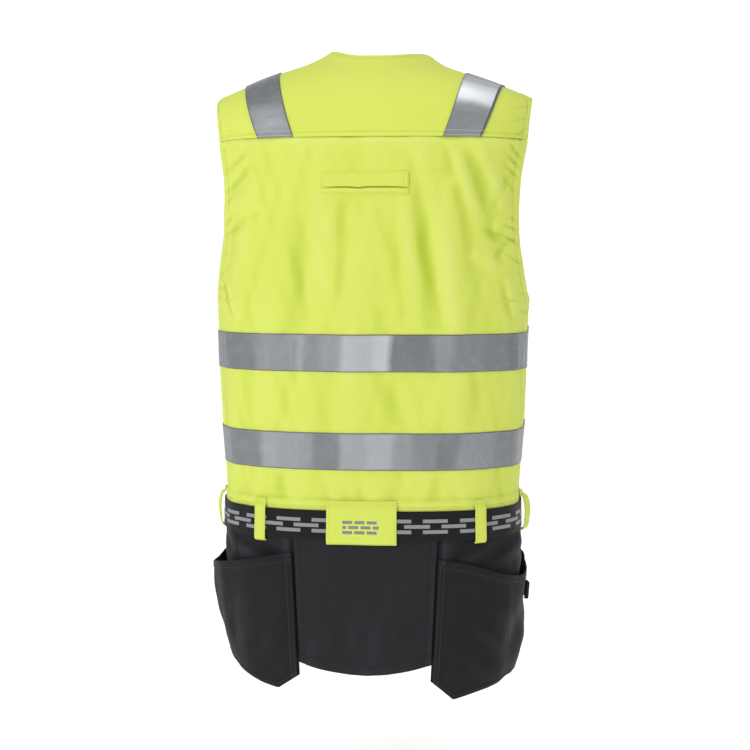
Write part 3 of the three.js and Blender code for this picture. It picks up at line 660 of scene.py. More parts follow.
class Graph:
    """A material's node graph, ending in one Principled shader."""

    def __init__(self, name):
        self.material = bpy.data.materials.new(name)
        self.material.use_nodes = True
        self.nodes = self.material.node_tree.nodes
        self.shader = self.nodes["Principled BSDF"]

    def add(self, kind, settings, inputs, output=0):
        """A node of a kind: its settings first, then the values or wires of its sockets."""
        node = self.nodes.new(kind)
        for key, value in settings.items():
            if key == "stops":
                for _ in value[2:]:
                    node.color_ramp.elements.new(1.0)
                for element, (place, tint) in zip(node.color_ramp.elements, value):
                    element.position, element.color = place, tint
            else:
                setattr(node, key, value)
        for key, value in inputs.items():
            self.plug(node.inputs[key], value)
        return Wire(self, node.outputs[output])

    def plug(self, socket, value):
        if isinstance(value, Wire):
            self.material.node_tree.links.new(value.socket, socket)
        else:
            socket.default_value = value

    def flat(self):
        """Places on the flat cloth: metres across and down."""
        place = self.add("ShaderNodeUVMap", {"uv_map": "cloth"}, {})
        split = self.add("ShaderNodeSeparateXYZ", {}, {0: place})
        return place, split, split.output("Y")

    def noise(self, place, scale, detail=2.0, stretch=None):
        """Cloudy noise with so many clouds to the metre."""
        if stretch:
            place = self.add("ShaderNodeVectorMath", {"operation": "MULTIPLY"}, {0: place, 1: stretch})
        return self.add("ShaderNodeTexNoise", {}, {"Vector": place, "Scale": scale, "Detail": detail})

    def mix(self, share, first, second):
        """A colour between two."""
        node = self.add("ShaderNodeMix", {"data_type": "RGBA"}, {"Factor": share}, 2)
        for socket, value in ((node.socket.node.inputs[6], first), (node.socket.node.inputs[7], second)):
            self.plug(socket, value)
        return node

    def bump(self, height, strength, distance, below=None):
        inputs = {"Height": height, "Strength": strength, "Distance": distance}
        if below is not None:
            inputs["Normal"] = below
        return self.add("ShaderNodeBump", {}, inputs)

    def finish(self, **sockets):
        """Sets the shader's sockets and gives the material back."""
        for key, value in sockets.items():
            self.plug(self.shader.inputs[key.replace("_", " ")], value)
        return self.material


def colour(code):
    """A colour for a shader from a web colour code."""
    parts = [int(code[i:i + 2], 16) / 255 for i in (1, 3, 5)]
    return (*[c / 12.92 if c < 0.04045 else ((c + 0.055) / 1.055) ** 2.4 for c in parts], 1.0)


print("shader tools ready")

# %% [markdown]
# The bright cloth is a fluorescent polyester twill. Its dye turns unseen light into yellow-green, so it
# looks fuller than any plain yellow: a saturated base under plenty of light gives that without making the
# cloth a lamp, which would wash out its folds. The stored depth of each fold paints light into the colour:
# the hollows get painted shade, darker and greener, and the ridges a paler painted highlight.
# The twill is a fine diagonal rib of about 0.8 mm.

# %% Bright cloth


def bright_cloth(name, print_over=None):
    graph = Graph(name)
    place, across, down = graph.flat()
    cloud = graph.noise(place, 9, 3)
    slub = graph.noise(place, 420, 1, (1.0, 0.25, 1.0))
    shade = cloud * 0.6 + slub * 0.4
    base = graph.mix(shade, colour("#CFDD55"), colour("#DDE76E"))
    hollow = graph.add("ShaderNodeAttribute", {"attribute_name": "hollow"}, {}, "Fac")
    # Painted shade: the hollows of folds darker and greener, by the stored depth.
    base = graph.mix(hollow.math("MAXIMUM", 0.0), base, colour("#AABF30"))
    # Painted highlight: the ridges of folds paler.
    base = graph.mix((0 - hollow).math("MAXIMUM", 0.0) * 0.5, base, colour("#E6EE93"))
    if print_over:
        base = print_over(graph, across, down, base)
    rib = ((across + down) * (2 * math.pi / 0.0008)).math("SINE")
    height = rib * 0.5 + slub * 0.9
    weave = graph.bump(height, 0.25, 0.0002)
    crumple = graph.noise(place, 34, 3, (1.0, 0.45, 1.0))
    return graph.finish(
        Base_Color=base,
        Roughness=0.82,
        Normal=graph.bump(crumple, 0.3, 0.0016, weave),
        Sheen_Weight=0.1,
        Sheen_Roughness=0.5,
        Specular_IOR_Level=0.2,
    )


bright = bright_cloth("bright_cloth")

# %% [markdown]
# Reflective tape is a cloth ribbon under a coat of glass beads in grey. It throws light back in broad soft
# glints, so it is partly metallic with a middling roughness. Where the cloth below turns, painted highlight
# and painted shade stand in for its glints, with quite sharp borders, so each ribbon has a short list of
# painted lightnesses along its length: a ramp on its flat map. Its woven edges show as thin violet lines.

# %% Reflective tape


tone_blend = 5


def tone(light):
    """A grey with a little blue, by its lightness."""
    return (light * 0.9, light * 0.955, light, 1.0)


def reflective_tape(name, length, painted_light):
    """Painted highlight and shade: places along the ribbon in millimetres, each with the lightness from there on."""
    graph = Graph(name)
    place, across, down = graph.flat()
    width = tape_width * MM
    edge_line = 0.0010
    rim = (down < edge_line) + (down > width - edge_line)
    cloud = graph.noise(place, 30, 3)
    beads = graph.noise(place, 2600, 0)
    wander = (graph.noise(place, 16, 3) - 0.5) * 0.022
    # Painted highlight and shade: a ramp of lightness along the ribbon.
    stops = []
    for (start, light), (_, before) in zip(painted_light, [painted_light[0], *painted_light[:-1]]):
        stops.append((max(0.0, (start - tone_blend) / length), tone(before)))
        stops.append(((start + tone_blend) / length, tone(light)))
    ramp = graph.add("ShaderNodeValToRGB", {"stops": stops}, {0: (across + wander) / (length * MM)})
    grain = cloud * 0.6 + beads * 0.4
    patchy = graph.noise(place, 95, 5, (1.0, 0.7, 1.0))
    grey = graph.mix(grain * 0.16 + (patchy > 0.56) * 0.03, ramp, (0.75, 0.78, 0.84, 1))
    base = graph.mix(rim, grey, colour("#565568"))
    crease = graph.noise(place, 70, 4, (1.0, 0.5, 1.0))
    return graph.finish(
        Base_Color=base,
        Metallic=0.2,
        Roughness=cloud * 0.14 + 0.33,
        Normal=graph.bump(crease, 0.5, 0.0011, graph.bump(beads, 0.15, 0.0001)),
        Specular_IOR_Level=0.5,
    )


# Painted highlight and shade along each ribbon. Each list starts at the wearer's left end, and a shoulder's at its back
# seam.
back_band_length = 508
front_band_length = 240
shoulder_tape_length = 300
upper_painted_light = (
    (0, 0.16), (133, 0.23), (196, 0.31), (203, 0.21), (226, 0.26), (256, 0.46), (300, 0.54), (322, 0.15),
    (379, 0.26), (403, 0.19), (450, 0.16),
)
lower_painted_light = (
    (0, 0.17), (133, 0.3), (160, 0.27), (210, 0.17), (246, 0.34), (282, 0.4), (318, 0.27), (345, 0.21),
    (373, 0.16), (403, 0.24), (460, 0.19),
)
front_painted_light = ((0, 0.2), (60, 0.3), (96, 0.19), (150, 0.34), (196, 0.21))
left_shoulder_painted_light = ((0, 0.2), (8, 0.22), (22, 0.15), (48, 0.16), (120, 0.22), (200, 0.26), (260, 0.22))
# The right shoulder tape's bright stretch near the top is a painted glint.
right_shoulder_painted_light = ((0, 0.24), (36, 0.3), (46, 0.72), (84, 0.5), (104, 0.22), (180, 0.26), (250, 0.2))
tapes = {
    "upper": reflective_tape("tape_upper_back", back_band_length, upper_painted_light),
    "lower": reflective_tape("tape_lower_back", back_band_length, lower_painted_light),
    "front": reflective_tape("tape_fronts", front_band_length, front_painted_light),
    "left": reflective_tape("tape_left_shoulder", shoulder_tape_length, left_shoulder_painted_light),
    "right": reflective_tape("tape_right_shoulder", shoulder_tape_length, right_shoulder_painted_light),
}

# %% [markdown]
# The dark parts are a heavy charcoal canvas. Its plain weave is a small checker of threads, two threads to
# the millimetre, and the threads that lie on top are a shade lighter.

# %% Dark cloth


def dark_cloth(name, low, high):
    graph = Graph(name)
    place, across, down = graph.flat()
    warp = (across * (2 * math.pi / 0.0011)).math("SINE")
    weft = (down * (2 * math.pi / 0.0011)).math("SINE")
    weave = warp * weft
    cloud = graph.noise(place, 14, 4)
    lint = graph.noise(place, 600, 1)
    shade = cloud * 0.55 + lint * 0.3 + weave * 0.08
    base = graph.mix(shade, colour(low), colour(high))
    hollow = graph.add("ShaderNodeAttribute", {"attribute_name": "hollow"}, {}, "Fac")
    # Painted shade: darker in the hollows of folds, by the stored depth.
    base = graph.mix(hollow.math("MAXIMUM", 0.0) * 0.9, base, colour("#080708"))
    # Painted highlight: lighter on the ridges of folds.
    base = graph.mix((0 - hollow).math("MAXIMUM", 0.0) * 0.55, base, colour("#46434B"))
    crumple = graph.noise(place, 30, 3, (1.0, 0.6, 1.0))
    return graph.finish(
        Base_Color=base,
        Roughness=0.78,
        Normal=graph.bump(crumple, 0.3, 0.002, graph.bump(weave * 0.5 + lint, 0.3, 0.0002)),
        Sheen_Weight=0.06,
        Sheen_Roughness=0.4,
        Specular_IOR_Level=0.3,
    )


dark = dark_cloth("dark_cloth", "#131115", "#28252B")
# A darker copy of the same canvas for the side panels and pouches: painted shade, for the less light that reaches the
# sides.
shaded_dark = dark_cloth("shaded_dark_cloth", "#0A080C", "#1C191F")

# %% [markdown]
# The belt is black webbing with a grey woven figure: three rows of staggered dashes, the upper and lower
# in step and the middle one shifted by half a repeat. Rounding the place to whole threads first gives the
# dashes the small stepped ends of a real weave.

# %% Webbing
thread = 0.0012
dash_repeat = 0.050
dash_length = 0.034
dash_height = 0.0046
dash_row_gap = 0.0072


def webbing(name, figured):
    graph = Graph(name)
    place, across, down = graph.flat()
    rib = (across * (2 * math.pi / (thread * 1.5))).math("SINE")
    wales = (down * (2 * math.pi / (thread * 2))).math("SINE")
    fuzz = graph.noise(place, 900, 1)
    black = graph.mix(fuzz * 0.6 + rib * 0.12 + 0.15, colour("#040404"), colour("#121212"))
    base = black
    if figured:
        step_u = (across / thread).math("FLOOR") * thread
        step_v = (down / thread).math("FLOOR") * thread
        figure = None
        for row, shift in ((-1, 0.0), (0, 0.5), (1, 0.0)):
            centre = belt_width * MM / 2 + row * dash_row_gap
            beside = (step_u / dash_repeat + shift).math("FRACT") < dash_length / dash_repeat
            within = (step_v - centre).math("ABSOLUTE") < dash_height / 2
            dash = beside * within
            figure = dash if figure is None else figure + dash
        base = graph.mix(figure, black, graph.mix(fuzz, colour("#77797D"), colour("#A2A4A8")))
    return graph.finish(
        Base_Color=base,
        Roughness=0.8,
        Normal=graph.bump(rib * 0.6 + wales * 0.5 + fuzz * 0.3, 0.5, 0.0004),
        Sheen_Weight=0.1,
        Specular_IOR_Level=0.3,
    )


belt_cloth = webbing("belt_webbing", True)

# %% [markdown]
# The tunnel over the belt carries a printed figure in the same grey: three short rows of bars, staggered
# like bricks. Print lies flat in the cloth, so it changes the colour alone.

# %% Printed figure
tunnel_centre = (0.0465, 0.036)
bar_repeat = 0.0165
bar_length = 0.0135
bar_height = 0.0042
bar_row_gap = 0.0068
figure_half_width = 0.0245


def bars(graph, across, down, base):
    """The cloth's colour with rows of grey bars printed on it."""
    figure = None
    from_middle = across - tunnel_centre[0]
    inside = from_middle.math("ABSOLUTE") < figure_half_width
    for row, shift in ((-1, 0.0), (0, 0.5), (1, 0.0)):
        beside_gap = (from_middle / bar_repeat + shift + 0.5).math("FRACT") < bar_length / bar_repeat
        height = (down - (tunnel_centre[1] + row * bar_row_gap)).math("ABSOLUTE") < bar_height / 2
        bar = beside_gap * height * inside
        figure = bar if figure is None else figure + bar
    return graph.mix(figure, base, colour("#85878A"))


printed = bright_cloth("printed_cloth", bars)

# %% [markdown]
# Thread is spun polyester with a slight gloss. One function makes it in each colour. Moulded plastic for
# the buckle and the zip's slider gets a fine grain, because a bare smooth plastic looks like a toy.

# %% Thread and plastic


def thread_finish(name, code_low, code_high):
    graph = Graph(name)
    place = graph.add("ShaderNodeTexCoord", {}, {}, "Object")
    twist = graph.noise(place, 900, 1)
    base = graph.mix(twist, colour(code_low), colour(code_high))
    return graph.finish(
        Base_Color=base,
        Roughness=0.55,
        Normal=graph.bump(twist, 0.3, 0.0002),
    )


def plastic_finish():
    graph = Graph("black_plastic")
    place = graph.add("ShaderNodeTexCoord", {}, {}, "Object")
    grain = graph.noise(place, 1400, 2)
    scuff = graph.noise(place, 60, 4)
    return graph.finish(
        Base_Color=graph.mix(scuff, colour("#151517"), colour("#232326")),
        Roughness=scuff * 0.25 + 0.35,
        Normal=graph.bump(grain, 0.2, 0.0003),
    )


bright_thread = thread_finish("bright_thread", "#BFD03F", "#D8E562")
dark_thread = thread_finish("dark_thread", "#2B2A2E", "#4A494F")
grey_thread = thread_finish("grey_thread", "#8E9096", "#B4B6BC")
pale_thread = thread_finish("pale_thread", "#C5C8BE", "#E8EADF")
plastic = plastic_finish()
print("materials:", len(bpy.data.materials))

# %% [markdown]
# The back panel hangs from the yoke seam to the hem. Its top is tucked under the yoke and its armhole
# edges are turned in and stitched down, and the cloth puckers beside the stitches. At the hem a casing
# strip lies on top. All of that is a lift of the same grid.

# %% Back panel
armhole_inset = 19
sewn_limit = 60
pucker_share = {-1: 0.8, 1: 1.3}
tuck_length = 8
tuck_depth = 2.3
band_levels = {"upper": 341, "lower": 473}
edge_width = 1.0


def armhole_line(side, hand):
    """The armhole's edge from the yoke down to the underarm, and the side seam's top."""
    levels = np.linspace(yoke_levels[side], underarm_level, 160)
    return on_body(side, float(hand), levels, 0.0)


def casing_lift(level):
    """The hem's casing strip: a step of its thickness, with three rows of stitches pressed in."""
    lift = hem_casing["thickness"] * smooth_step((level - body_length + hem_casing["height"]) / 1.2)
    for inset in hem_rows:
        lift = lift - 0.3 * bump_at(level, body_length - inset, 0.9)
    return lift


hem_rows = (2.5, 8.0, 13.5)


def armhole_lift(side, points, pucker):
    lift = 0
    for hand in (-1, 1):
        distance, along = distance_to(points, armhole_line(side, hand))
        amount = pucker * pucker_share[hand]
        lift = lift + sewn_edge(distance, along, armhole_inset, amount, seed=hand + 2) * (distance < sewn_limit)
    return lift


def yoke_tuck(side, level):
    """A panel's top dips under the yoke's folded edge."""
    return -tuck_depth * (1 - smooth_step((level - yoke_levels[side] + 1) / 2.5))


# Creases of the back. x0, y0, x1, y1: from and to, sideways place and level in millimetres. height is
# negative for a valley.
creases = table(
    "x0 y0 x1 y1 height width",
    (56, 92, 88, 340, -2.3, 11),
    (76, 96, 112, 330, 2.2, 13),
    (36, 170, 52, 336, -1.5, 12),
    (128, 84, 170, 206, -1.7, 10),
    (146, 84, 188, 180, 2.0, 8),
    (112, 84, 150, 190, 1.7, 8),
    (118, 140, 142, 236, -2.1, 12),
    (150, 196, 190, 224, -2.0, 8),
    (140, 230, 186, 262, 1.5, 9),
    (196, 118, 168, 176, -1.2, 5),
    (198, 168, 170, 206, 1.1, 5),
    (197, 210, 172, 240, -1.2, 5),
    (186, 262, 204, 336, 1.5, 4.5),
    (176, 262, 195, 336, -1.7, 5.5),
    (-200, 128, -160, 96, -1.4, 6),
    (-202, 160, -152, 112, -1.7, 8),
    (-204, 186, -150, 150, 1.2, 9),
    (-200, 214, -140, 176, -1.5, 10),
    (-205, 258, -182, 326, -1.8, 4.2),
    (-199, 258, -174, 326, 1.5, 5.0),
    (-92, 180, -84, 334, -1.5, 12),
    (-30, 160, -34, 300, -1.2, 9),
    (-60, 96, -50, 334, 1.0, 16),
    (28, 400, 40, 466, -1.2, 12),
    (94, 400, 88, 466, 1.0, 14),
    (92, 530, 88, 574, -0.9, 12),
    (-150, 396, -142, 470, 1.0, 16),
    (150, 396, 138, 470, -1.4, 12),
    (-120, 528, -118, 576, -1.0, 12),
    (10, 528, 14, 576, 0.9, 14),
)


def clear_of_bands(level):
    """1 away from the reflective bands and 0 below them, where they hold the cloth flat."""
    clear = 1
    for top in band_levels.values():
        gap = np.abs(level - top - tape_width / 2) - tape_width / 2
        clear = clear * smooth_step((gap - 1) / 9)
    return clear


def crease_lift(points):
    """Creases by sideways place and level."""
    x, level = points[..., 0], -points[..., 2]
    lift = 0
    for x0, y0, x1, y1, height, width in zip(*creases.values()):
        run = math.hypot(x1 - x0, y1 - y0)
        along = ((x - x0) * (x1 - x0) + (level - y0) * (y1 - y0)) / run
        aside = ((x - x0) * (y1 - y0) - (level - y0) * (x1 - x0)) / run
        taper = np.sin(np.pi * np.clip(along / run, 0, 1)) ** 0.8
        lift = lift + height * taper * np.exp(-((aside / width) ** 2))
    return lift * clear_of_bands(level)


shares = spaced(-1, 1, 186, edge_width / round_length)
levels = spaced(yoke_levels["back"] - tuck_length, body_length, 158, edge_width)
SHARE, LEVEL = np.meshgrid(shares, levels)
ground = bare_body("back", SHARE, LEVEL)
back_lift = (
    casing_lift(LEVEL)
    + yoke_tuck("back", LEVEL)
    + armhole_lift("back", on_body("back", SHARE, LEVEL, 0.0), 1.25)
    + crease_lift(ground)
)
relief = body_lift(place_round("back", SHARE, LEVEL), LEVEL) + back_lift
back_panel = shell(
    "back_panel_cloth",
    on_body("back", SHARE, LEVEL, back_lift),
    cloth_wall,
    edge_round(shares, edge_width / round_length),
    edge_round(levels, edge_width),
    bright,
    (0, 0, -300),
    hollow=hollows(relief, SHARE * edge_share("back", LEVEL)),
)
dress(back_panel, "back_panel")
print("back panel faces:", len(back_panel.data.polygons))

# %% [markdown]
# The front panels mirror the back. They reach a little under the back panel's side edges, so that no light
# shows through the side seams, and under the yoke. The neck edge falls in a curve to the zip.

# %% Front panels
neck_front_half_width = 62
neck_front_level = 118
neck_front_curve = 0.6
side_lap = 9


def neck_edge_level(share):
    corner = share_at_place("front", neck_front_half_width, yoke_levels["front"])
    inside = np.clip(1 - np.abs(share) / corner, 0, 1)
    return yoke_levels["front"] + seam_gap / 2 + (neck_front_level - yoke_levels["front"]) * inside**neck_front_curve


def front_panel(word, hand):
    parts = spaced(0, 1, 84, edge_width / 250)
    tops = spaced(0, 1, 150, edge_width / 500)
    PART, DOWN = np.meshgrid(parts, tops)
    corner = share_at_place("front", neck_front_half_width, yoke_levels["front"])
    rough = yoke_levels["front"] + DOWN * (body_length - yoke_levels["front"])
    lap = side_lap / round_length * smooth_step((rough - underarm_level - 4) / 14)
    start = share_at_place("front", zip_opening, rough)
    share = start + (1 + lap - start) * PART
    tucked = tuck_length * smooth_step((share - corner) / 0.06)
    top = neck_edge_level(share) - tucked
    level = top + (body_length - top) * DOWN
    points = on_body("front", hand * share, level, 0.0)
    under_side = -tuck_depth * smooth_step((share - 1 + 0.004) / 0.008)
    under_yoke = -tuck_depth * (1 - smooth_step((level - yoke_levels["front"] + 1) / 2.5)) * (tucked > 4)
    neck_gap = level - top
    neck_sewn = sewn_edge(neck_gap, share * 300, 6, 0.2) * (tucked < 1)
    distance, along = distance_to(points, armhole_line("front", hand))
    sewn = sewn_edge(distance, along, armhole_inset, 1.1, seed=hand + 5) * (distance < sewn_limit)
    fly = -0.4 * bump_at((share - start) * 300, 6, 1.1)
    lift = casing_lift(level) + under_side + under_yoke + neck_sewn + sewn + fly
    relief = body_lift(place_round("front", hand * share, level), level) + lift
    piece = shell(
        f"front_panel_{word}_cloth",
        on_body("front", hand * share, level, lift),
        cloth_wall,
        edge_round(parts, edge_width / 250),
        edge_round(tops, edge_width / 500),
        bright,
        (0, 0, -300),
        hollow=hollows(relief, share * edge_share("front", level)),
    )
    return dress(piece, f"front_panel_{word}")


front_panels = {word: front_panel(word, hand) for word, hand in (("left", -1), ("right", 1))}
print("front panels:", list(front_panels))

# %% [markdown]
# The yoke goes over both shoulders like a horseshoe round the neck. Its grid runs outwards from the neck
# edge: to the back seam in the middle, and to the armholes at the sides. The cloth stands up a little
# round the neck opening.

# %% Yoke
neck_half_width = 69.5
neck_shift = 11.5
neck_back_reach = 80
neck_stand_side = 11
neck_stand_back = 5
neck_stand_share = 0.14
yoke_corner_place = 0.36


def shoulder_line(place):
    share = np.abs(place) / shoulder_half_width
    return shoulder_centre_rise - (shoulder_centre_rise + shoulder_tip_drop) * share**shoulder_line_curve


def over_shoulder(share, turn):
    """The yoke's surface: turn runs from -1 at the back seam over the shoulder to 1 at the front seam."""
    share, turn = np.broadcast_arrays(np.clip(share, -1, 1), np.clip(turn, -1, 1))
    seams = {side: bare_body(side, share, level - seam_gap / 2) for side, level in yoke_levels.items()}
    seam = np.where((turn < 0)[..., None], seams["back"], seams["front"])
    top = rounded_quarter(share, body_squareness)[0] * shoulder_half_width
    across, along = rounded_quarter(turn, shoulder_squareness)
    x = seam[..., 0] + (top - seam[..., 0]) * along
    z = seam[..., 2] + (shoulder_line(x) - seam[..., 2]) * along
    return np.stack([x, seam[..., 1] * np.abs(across), z], -1)


def on_yoke(share, turn, offset):
    normal = outward_normal(over_shoulder, share, turn, 0.04, 0.02)
    waves = 0.35 * uneven(11, share * 200, turn * 110, 70, 120)
    return over_shoulder(share, turn) + normal * (waves + offset)[..., None]


def neck_edge(along, hand):
    """The neck's edge in the yoke's own shares, from the centre back at 0 to the front seam at 1."""
    back_turn = share_across(neck_back_reach / depth_at("back", yoke_levels["back"]), shoulder_squareness)
    side = share_at_place("back", neck_half_width + hand * neck_shift, 0.0)
    front = share_at_place("front", neck_front_half_width, yoke_levels["front"])
    angle = np.clip(along * 2, 0, 1) * np.pi / 2
    beyond = np.clip((along - 0.5) * 2, 0, 1)
    share = np.where(along <= 0.5, side * np.sin(angle), side + (front - side) * beyond**2)
    turn = np.where(along <= 0.5, -back_turn * np.cos(angle), beyond)
    return share, turn


def neck_stand(along):
    side = np.sin(np.clip(along * 2, 0, 1) * np.pi / 2) ** 2
    fade = 1 - np.clip((along - 0.5) * 2, 0, 1)
    return (neck_stand_back + (neck_stand_side - neck_stand_back) * side) * fade


half = np.concatenate([
    np.linspace(0, yoke_corner_place, 96)[:-1],
    spaced(yoke_corner_place, 1, 92, 0.003),
])
along_neck = np.concatenate([-half[:0:-1], half])
hand_side = np.where(along_neck < 0, -1.0, 1.0)
along_neck = np.abs(along_neck)
outwards = spaced(0, 1, 62, 0.008)
ALONG, OUT = np.meshgrid(along_neck, outwards)
HAND = np.broadcast_to(hand_side, ALONG.shape)
inner_share, inner_turn = neck_edge(ALONG, HAND)
on_seam = ALONG <= yoke_corner_place
outer_share = np.where(on_seam, ALONG / yoke_corner_place, 1.0)
round_armhole = (ALONG - yoke_corner_place) / (1 - yoke_corner_place)
outer_turn = np.where(on_seam, -1.0, -1 + 2 * round_armhole)
yoke_share = HAND * (inner_share + (outer_share - inner_share) * OUT)
yoke_turn = inner_turn + (outer_turn - inner_turn) * OUT
stand = neck_stand(ALONG) * np.clip(1 - OUT / neck_stand_share, 0, 1) ** 2
rough_yoke = over_shoulder(yoke_share, yoke_turn)
seam_columns = np.abs(along_neck) <= yoke_corner_place
yoke_back_seam = rough_yoke[-1, seam_columns]
neck_line = rough_yoke[0]
to_seam, along_seam = distance_to(rough_yoke, yoke_back_seam)
to_neck, neck_run = distance_to(rough_yoke, neck_line)
yoke_stitch_inset = 6.0
neck_stitch_inset = 5.0
yoke_lift = (
    0.5 * smooth_step(1 - to_seam / 12)
    - 0.4 * bump_at(to_seam, yoke_stitch_inset, 1.1)
    - 0.35 * bump_at(to_neck, neck_stitch_inset, 1.2)
)
for hand in (-1, 1):
    columns = (hand_side == hand) & (along_neck >= yoke_corner_place)
    to_arm, arm_run = distance_to(rough_yoke, rough_yoke[-1, columns])
    sewn = sewn_edge(to_arm, arm_run, armhole_inset, 1.0, seed=hand + 9)
    yoke_lift = yoke_lift + sewn * (to_arm < sewn_limit)
yoke_points = on_yoke(yoke_share, yoke_turn, yoke_lift)
yoke_points[..., 2] += stand
yoke = shell(
    "yoke_cloth",
    yoke_points,
    cloth_wall,
    edge_round(np.concatenate([-half[:0:-1], half]), 0.003),
    edge_round(outwards, 0.008),
    bright,
    (0, 0, -160),
    hollow=hollows(yoke_lift),
)
dress(yoke, "yoke")
print("yoke faces:", len(yoke.data.polygons))

# %% [markdown]
# The tapes over the shoulders lie on the yoke and run a little askew, closer together at the seam than on
# top. Each is a ribbon of even width, found on the yoke's surface by its sideways place.

# %% Shoulder tapes
shoulder_tape_places = {"left": (120, 149), "right": (127, 158)}
tape_base = 0.8


def yoke_share_at(place, turn):
    """The yoke's share at a sideways place, found by halving."""
    low, high = np.zeros_like(place), np.ones_like(place)
    for _ in range(24):
        middle = (low + high) / 2
        short = over_shoulder(middle, turn)[..., 0] < place
        low, high = np.where(short, middle, low), np.where(short, high, middle)
    return (low + high) / 2


def shoulder_tape(word, hand):
    turns = spaced(-1, 1, 110, 0.006)
    sides = spaced(-1, 1, 20, 0.02)
    SIDE, TURN = np.meshgrid(sides, turns)
    seam_place, top_place = shoulder_tape_places[word]
    middle = top_place - (top_place - seam_place) * TURN**2
    share = hand * yoke_share_at(middle + SIDE * tape_width / 2, TURN)
    points = on_yoke(share, TURN, np.full(SIDE.shape, tape_base + tape_thickness))
    piece = shell(
        f"shoulder_tape_{word}_ribbon",
        points.transpose(1, 0, 2),
        tape_thickness,
        edge_round(turns, 0.006),
        edge_round(sides, 0.02),
        tapes[word],
        (0, 0, -160),
    )
    return dress(piece, f"shoulder_tape_{word}")


shoulder_tapes = {word: shoulder_tape(word, hand) for word, hand in (("left", -1), ("right", 1))}
print("shoulder tapes:", list(shoulder_tapes))

# %% [markdown]
# The two bands round the body follow its folds. Ribbon is stiffer than the cloth under it, so along its
# stitched edges it ripples a little, and in between it stays taut.

# %% Bands


def band(word, side, level, start, stop, name):
    places = spaced(0, 1, 190 if side == "back" else 84, edge_width / 600)
    downs = spaced(0, tape_width, 22, 0.5)
    PLACE, DOWN = np.meshgrid(places, downs)
    top = level - (front_band_lift if side == "front" else 0)
    first = start(top + DOWN)
    last = stop(top + DOWN)
    share = first + (last - first) * PLACE
    run = share * round_length
    edge = np.exp(-((np.minimum(DOWN, tape_width - DOWN) / 4) ** 2))
    ripple = 0.22 * edge * uneven(17 + len(word), run, DOWN, 15, 200)
    lift = layer_gap + tape_thickness + ripple
    piece = shell(
        f"{name}_ribbon",
        on_body(side, share, top + DOWN, lift),
        tape_thickness,
        edge_round(places, edge_width / 600),
        edge_round(downs, 0.5),
        tapes[word if side == "back" else "front"],
        (0, 0, -level),
    )
    return dress(piece, name)


bands = {}
for word, level in band_levels.items():
    name = f"{word}_band_back"
    bands[name] = band(word, "back", level, lambda v: -np.ones_like(v), np.ones_like, name)
    for hand_word, hand in (("left", -1), ("right", 1)):
        name = f"{word}_band_front_{hand_word}"
        bands[name] = band(
            word,
            "front",
            level,
            lambda v, hand=hand: hand * share_at_place("front", zip_opening, v),
            lambda v, hand=hand: hand * np.ones_like(v),
            name,
        )
print("bands:", len(bands))

# %% [markdown]
# The belt is one ring of webbing, 40 mm wide, round the hem. It is stiff, so it follows the body's shape
# but hardly its folds.

# %% Belt
belt_places = np.linspace(-2, 2, 480, endpoint=False)
belt_downs = spaced(0, belt_width, 18, 1.1)
PLACE, DOWN = np.meshgrid(belt_places, belt_downs)
seam_soft = 0.5 * bump_at(DOWN, belt_width / 2, 14)
belt = shell(
    "belt_webbing_ring",
    round_body(PLACE, belt_top + DOWN, belt_outer + seam_soft * 0.4),
    belt_thickness,
    None,
    edge_round(belt_downs, 1.1),
    belt_cloth,
    (0, 0, -belt_top),
    joined=True,
)
dress(belt, "belt")
print("belt length in metres:", round(float(flat_map(grids[belt.name])[0, -1, 0]), 3))

# %% [markdown]
# The dark panels hang from inside the hem. Just below the belt they swing out to the body's line. The
# centre panel has a curved hem and the side panels back the pouches.

# %% Dark panels
dark_tuck = 15
tuck_gap = 1.1
dark_flare_height = 25
dark_wall = 2
lower_panel_half_width = 99
lower_panel_length = 221
lower_panel_taper = 10
lower_panel_hem_rise = 15
pouch_panel_length = 257
pouch_front_share = 1.42
pouch_seam_setback = 1.2
pouch_depths = {"left": 17, "right": 10.5}

panel_lap = 8
panel_swell = {"left": 1.0, "right": 4.5}
swell_place = 0.55
centre_corner_level = body_length + lower_panel_length - lower_panel_hem_rise
panel_under = 2.6

# Outlines of the pouches: levels below the hem as shares of the pouch panel's length
pouch_outline = table(
    "across left_mouth left_bottom right_mouth right_bottom",
    (0.00, 0.215, 0.870, 0.240, 0.890),
    (0.09, 0.240, 0.955, 0.262, 0.995),
    (0.16, 0.262, 0.940, 0.290, 0.975),
    (0.26, 0.290, 0.900, 0.335, 0.950),
    (0.38, 0.315, 0.855, 0.370, 0.925),
    (0.52, 0.340, 0.790, 0.375, 0.930),
    (0.64, 0.345, 0.735, 0.350, 0.890),
    (0.82, 0.310, 0.690, 0.310, 0.760),
    (1.00, 0.250, 0.660, 0.250, 0.690),
)


def dark_lift(level):
    """The dark panels' outer face: inside the hem, then out to the body's line below the belt."""
    t = smooth_step((level - body_length - layer_gap) / dark_flare_height)
    return -(cloth_wall + tuck_gap) * (1 - t)


def lower_seam(level, aside):
    taper = lower_panel_taper * np.clip(level - body_length, 0, None) / lower_panel_length
    return share_at_place("back", lower_panel_half_width - taper + aside, level)


def pouch_round(across, level):
    inner = lower_seam(level, seam_gap / 2)
    return inner + (pouch_front_share - inner) * across


def pouch_level(word, edge, across):
    return body_length + pouch_panel_length * np.interp(across, pouch_outline["across"], pouch_outline[f"{word}_{edge}"])


def hung(seed, across, level):
    """The unevenness of heavy cloth that hangs free: more towards its lower edge."""
    free = smooth_step((level - belt_bottom) / 150)
    return free * (0.8 * uneven(seed, across, level, 95, 500) + 0.25 * uneven(seed + 1, across, level, 38, 120))


def hem_lift(to_edge, inset, thick=0.6):
    """A turned hem: thicker up to its row of stitches, which press it in."""
    return thick * smooth_step((inset - to_edge) / 1.5) - 0.5 * bump_at(to_edge, inset, 1.1)


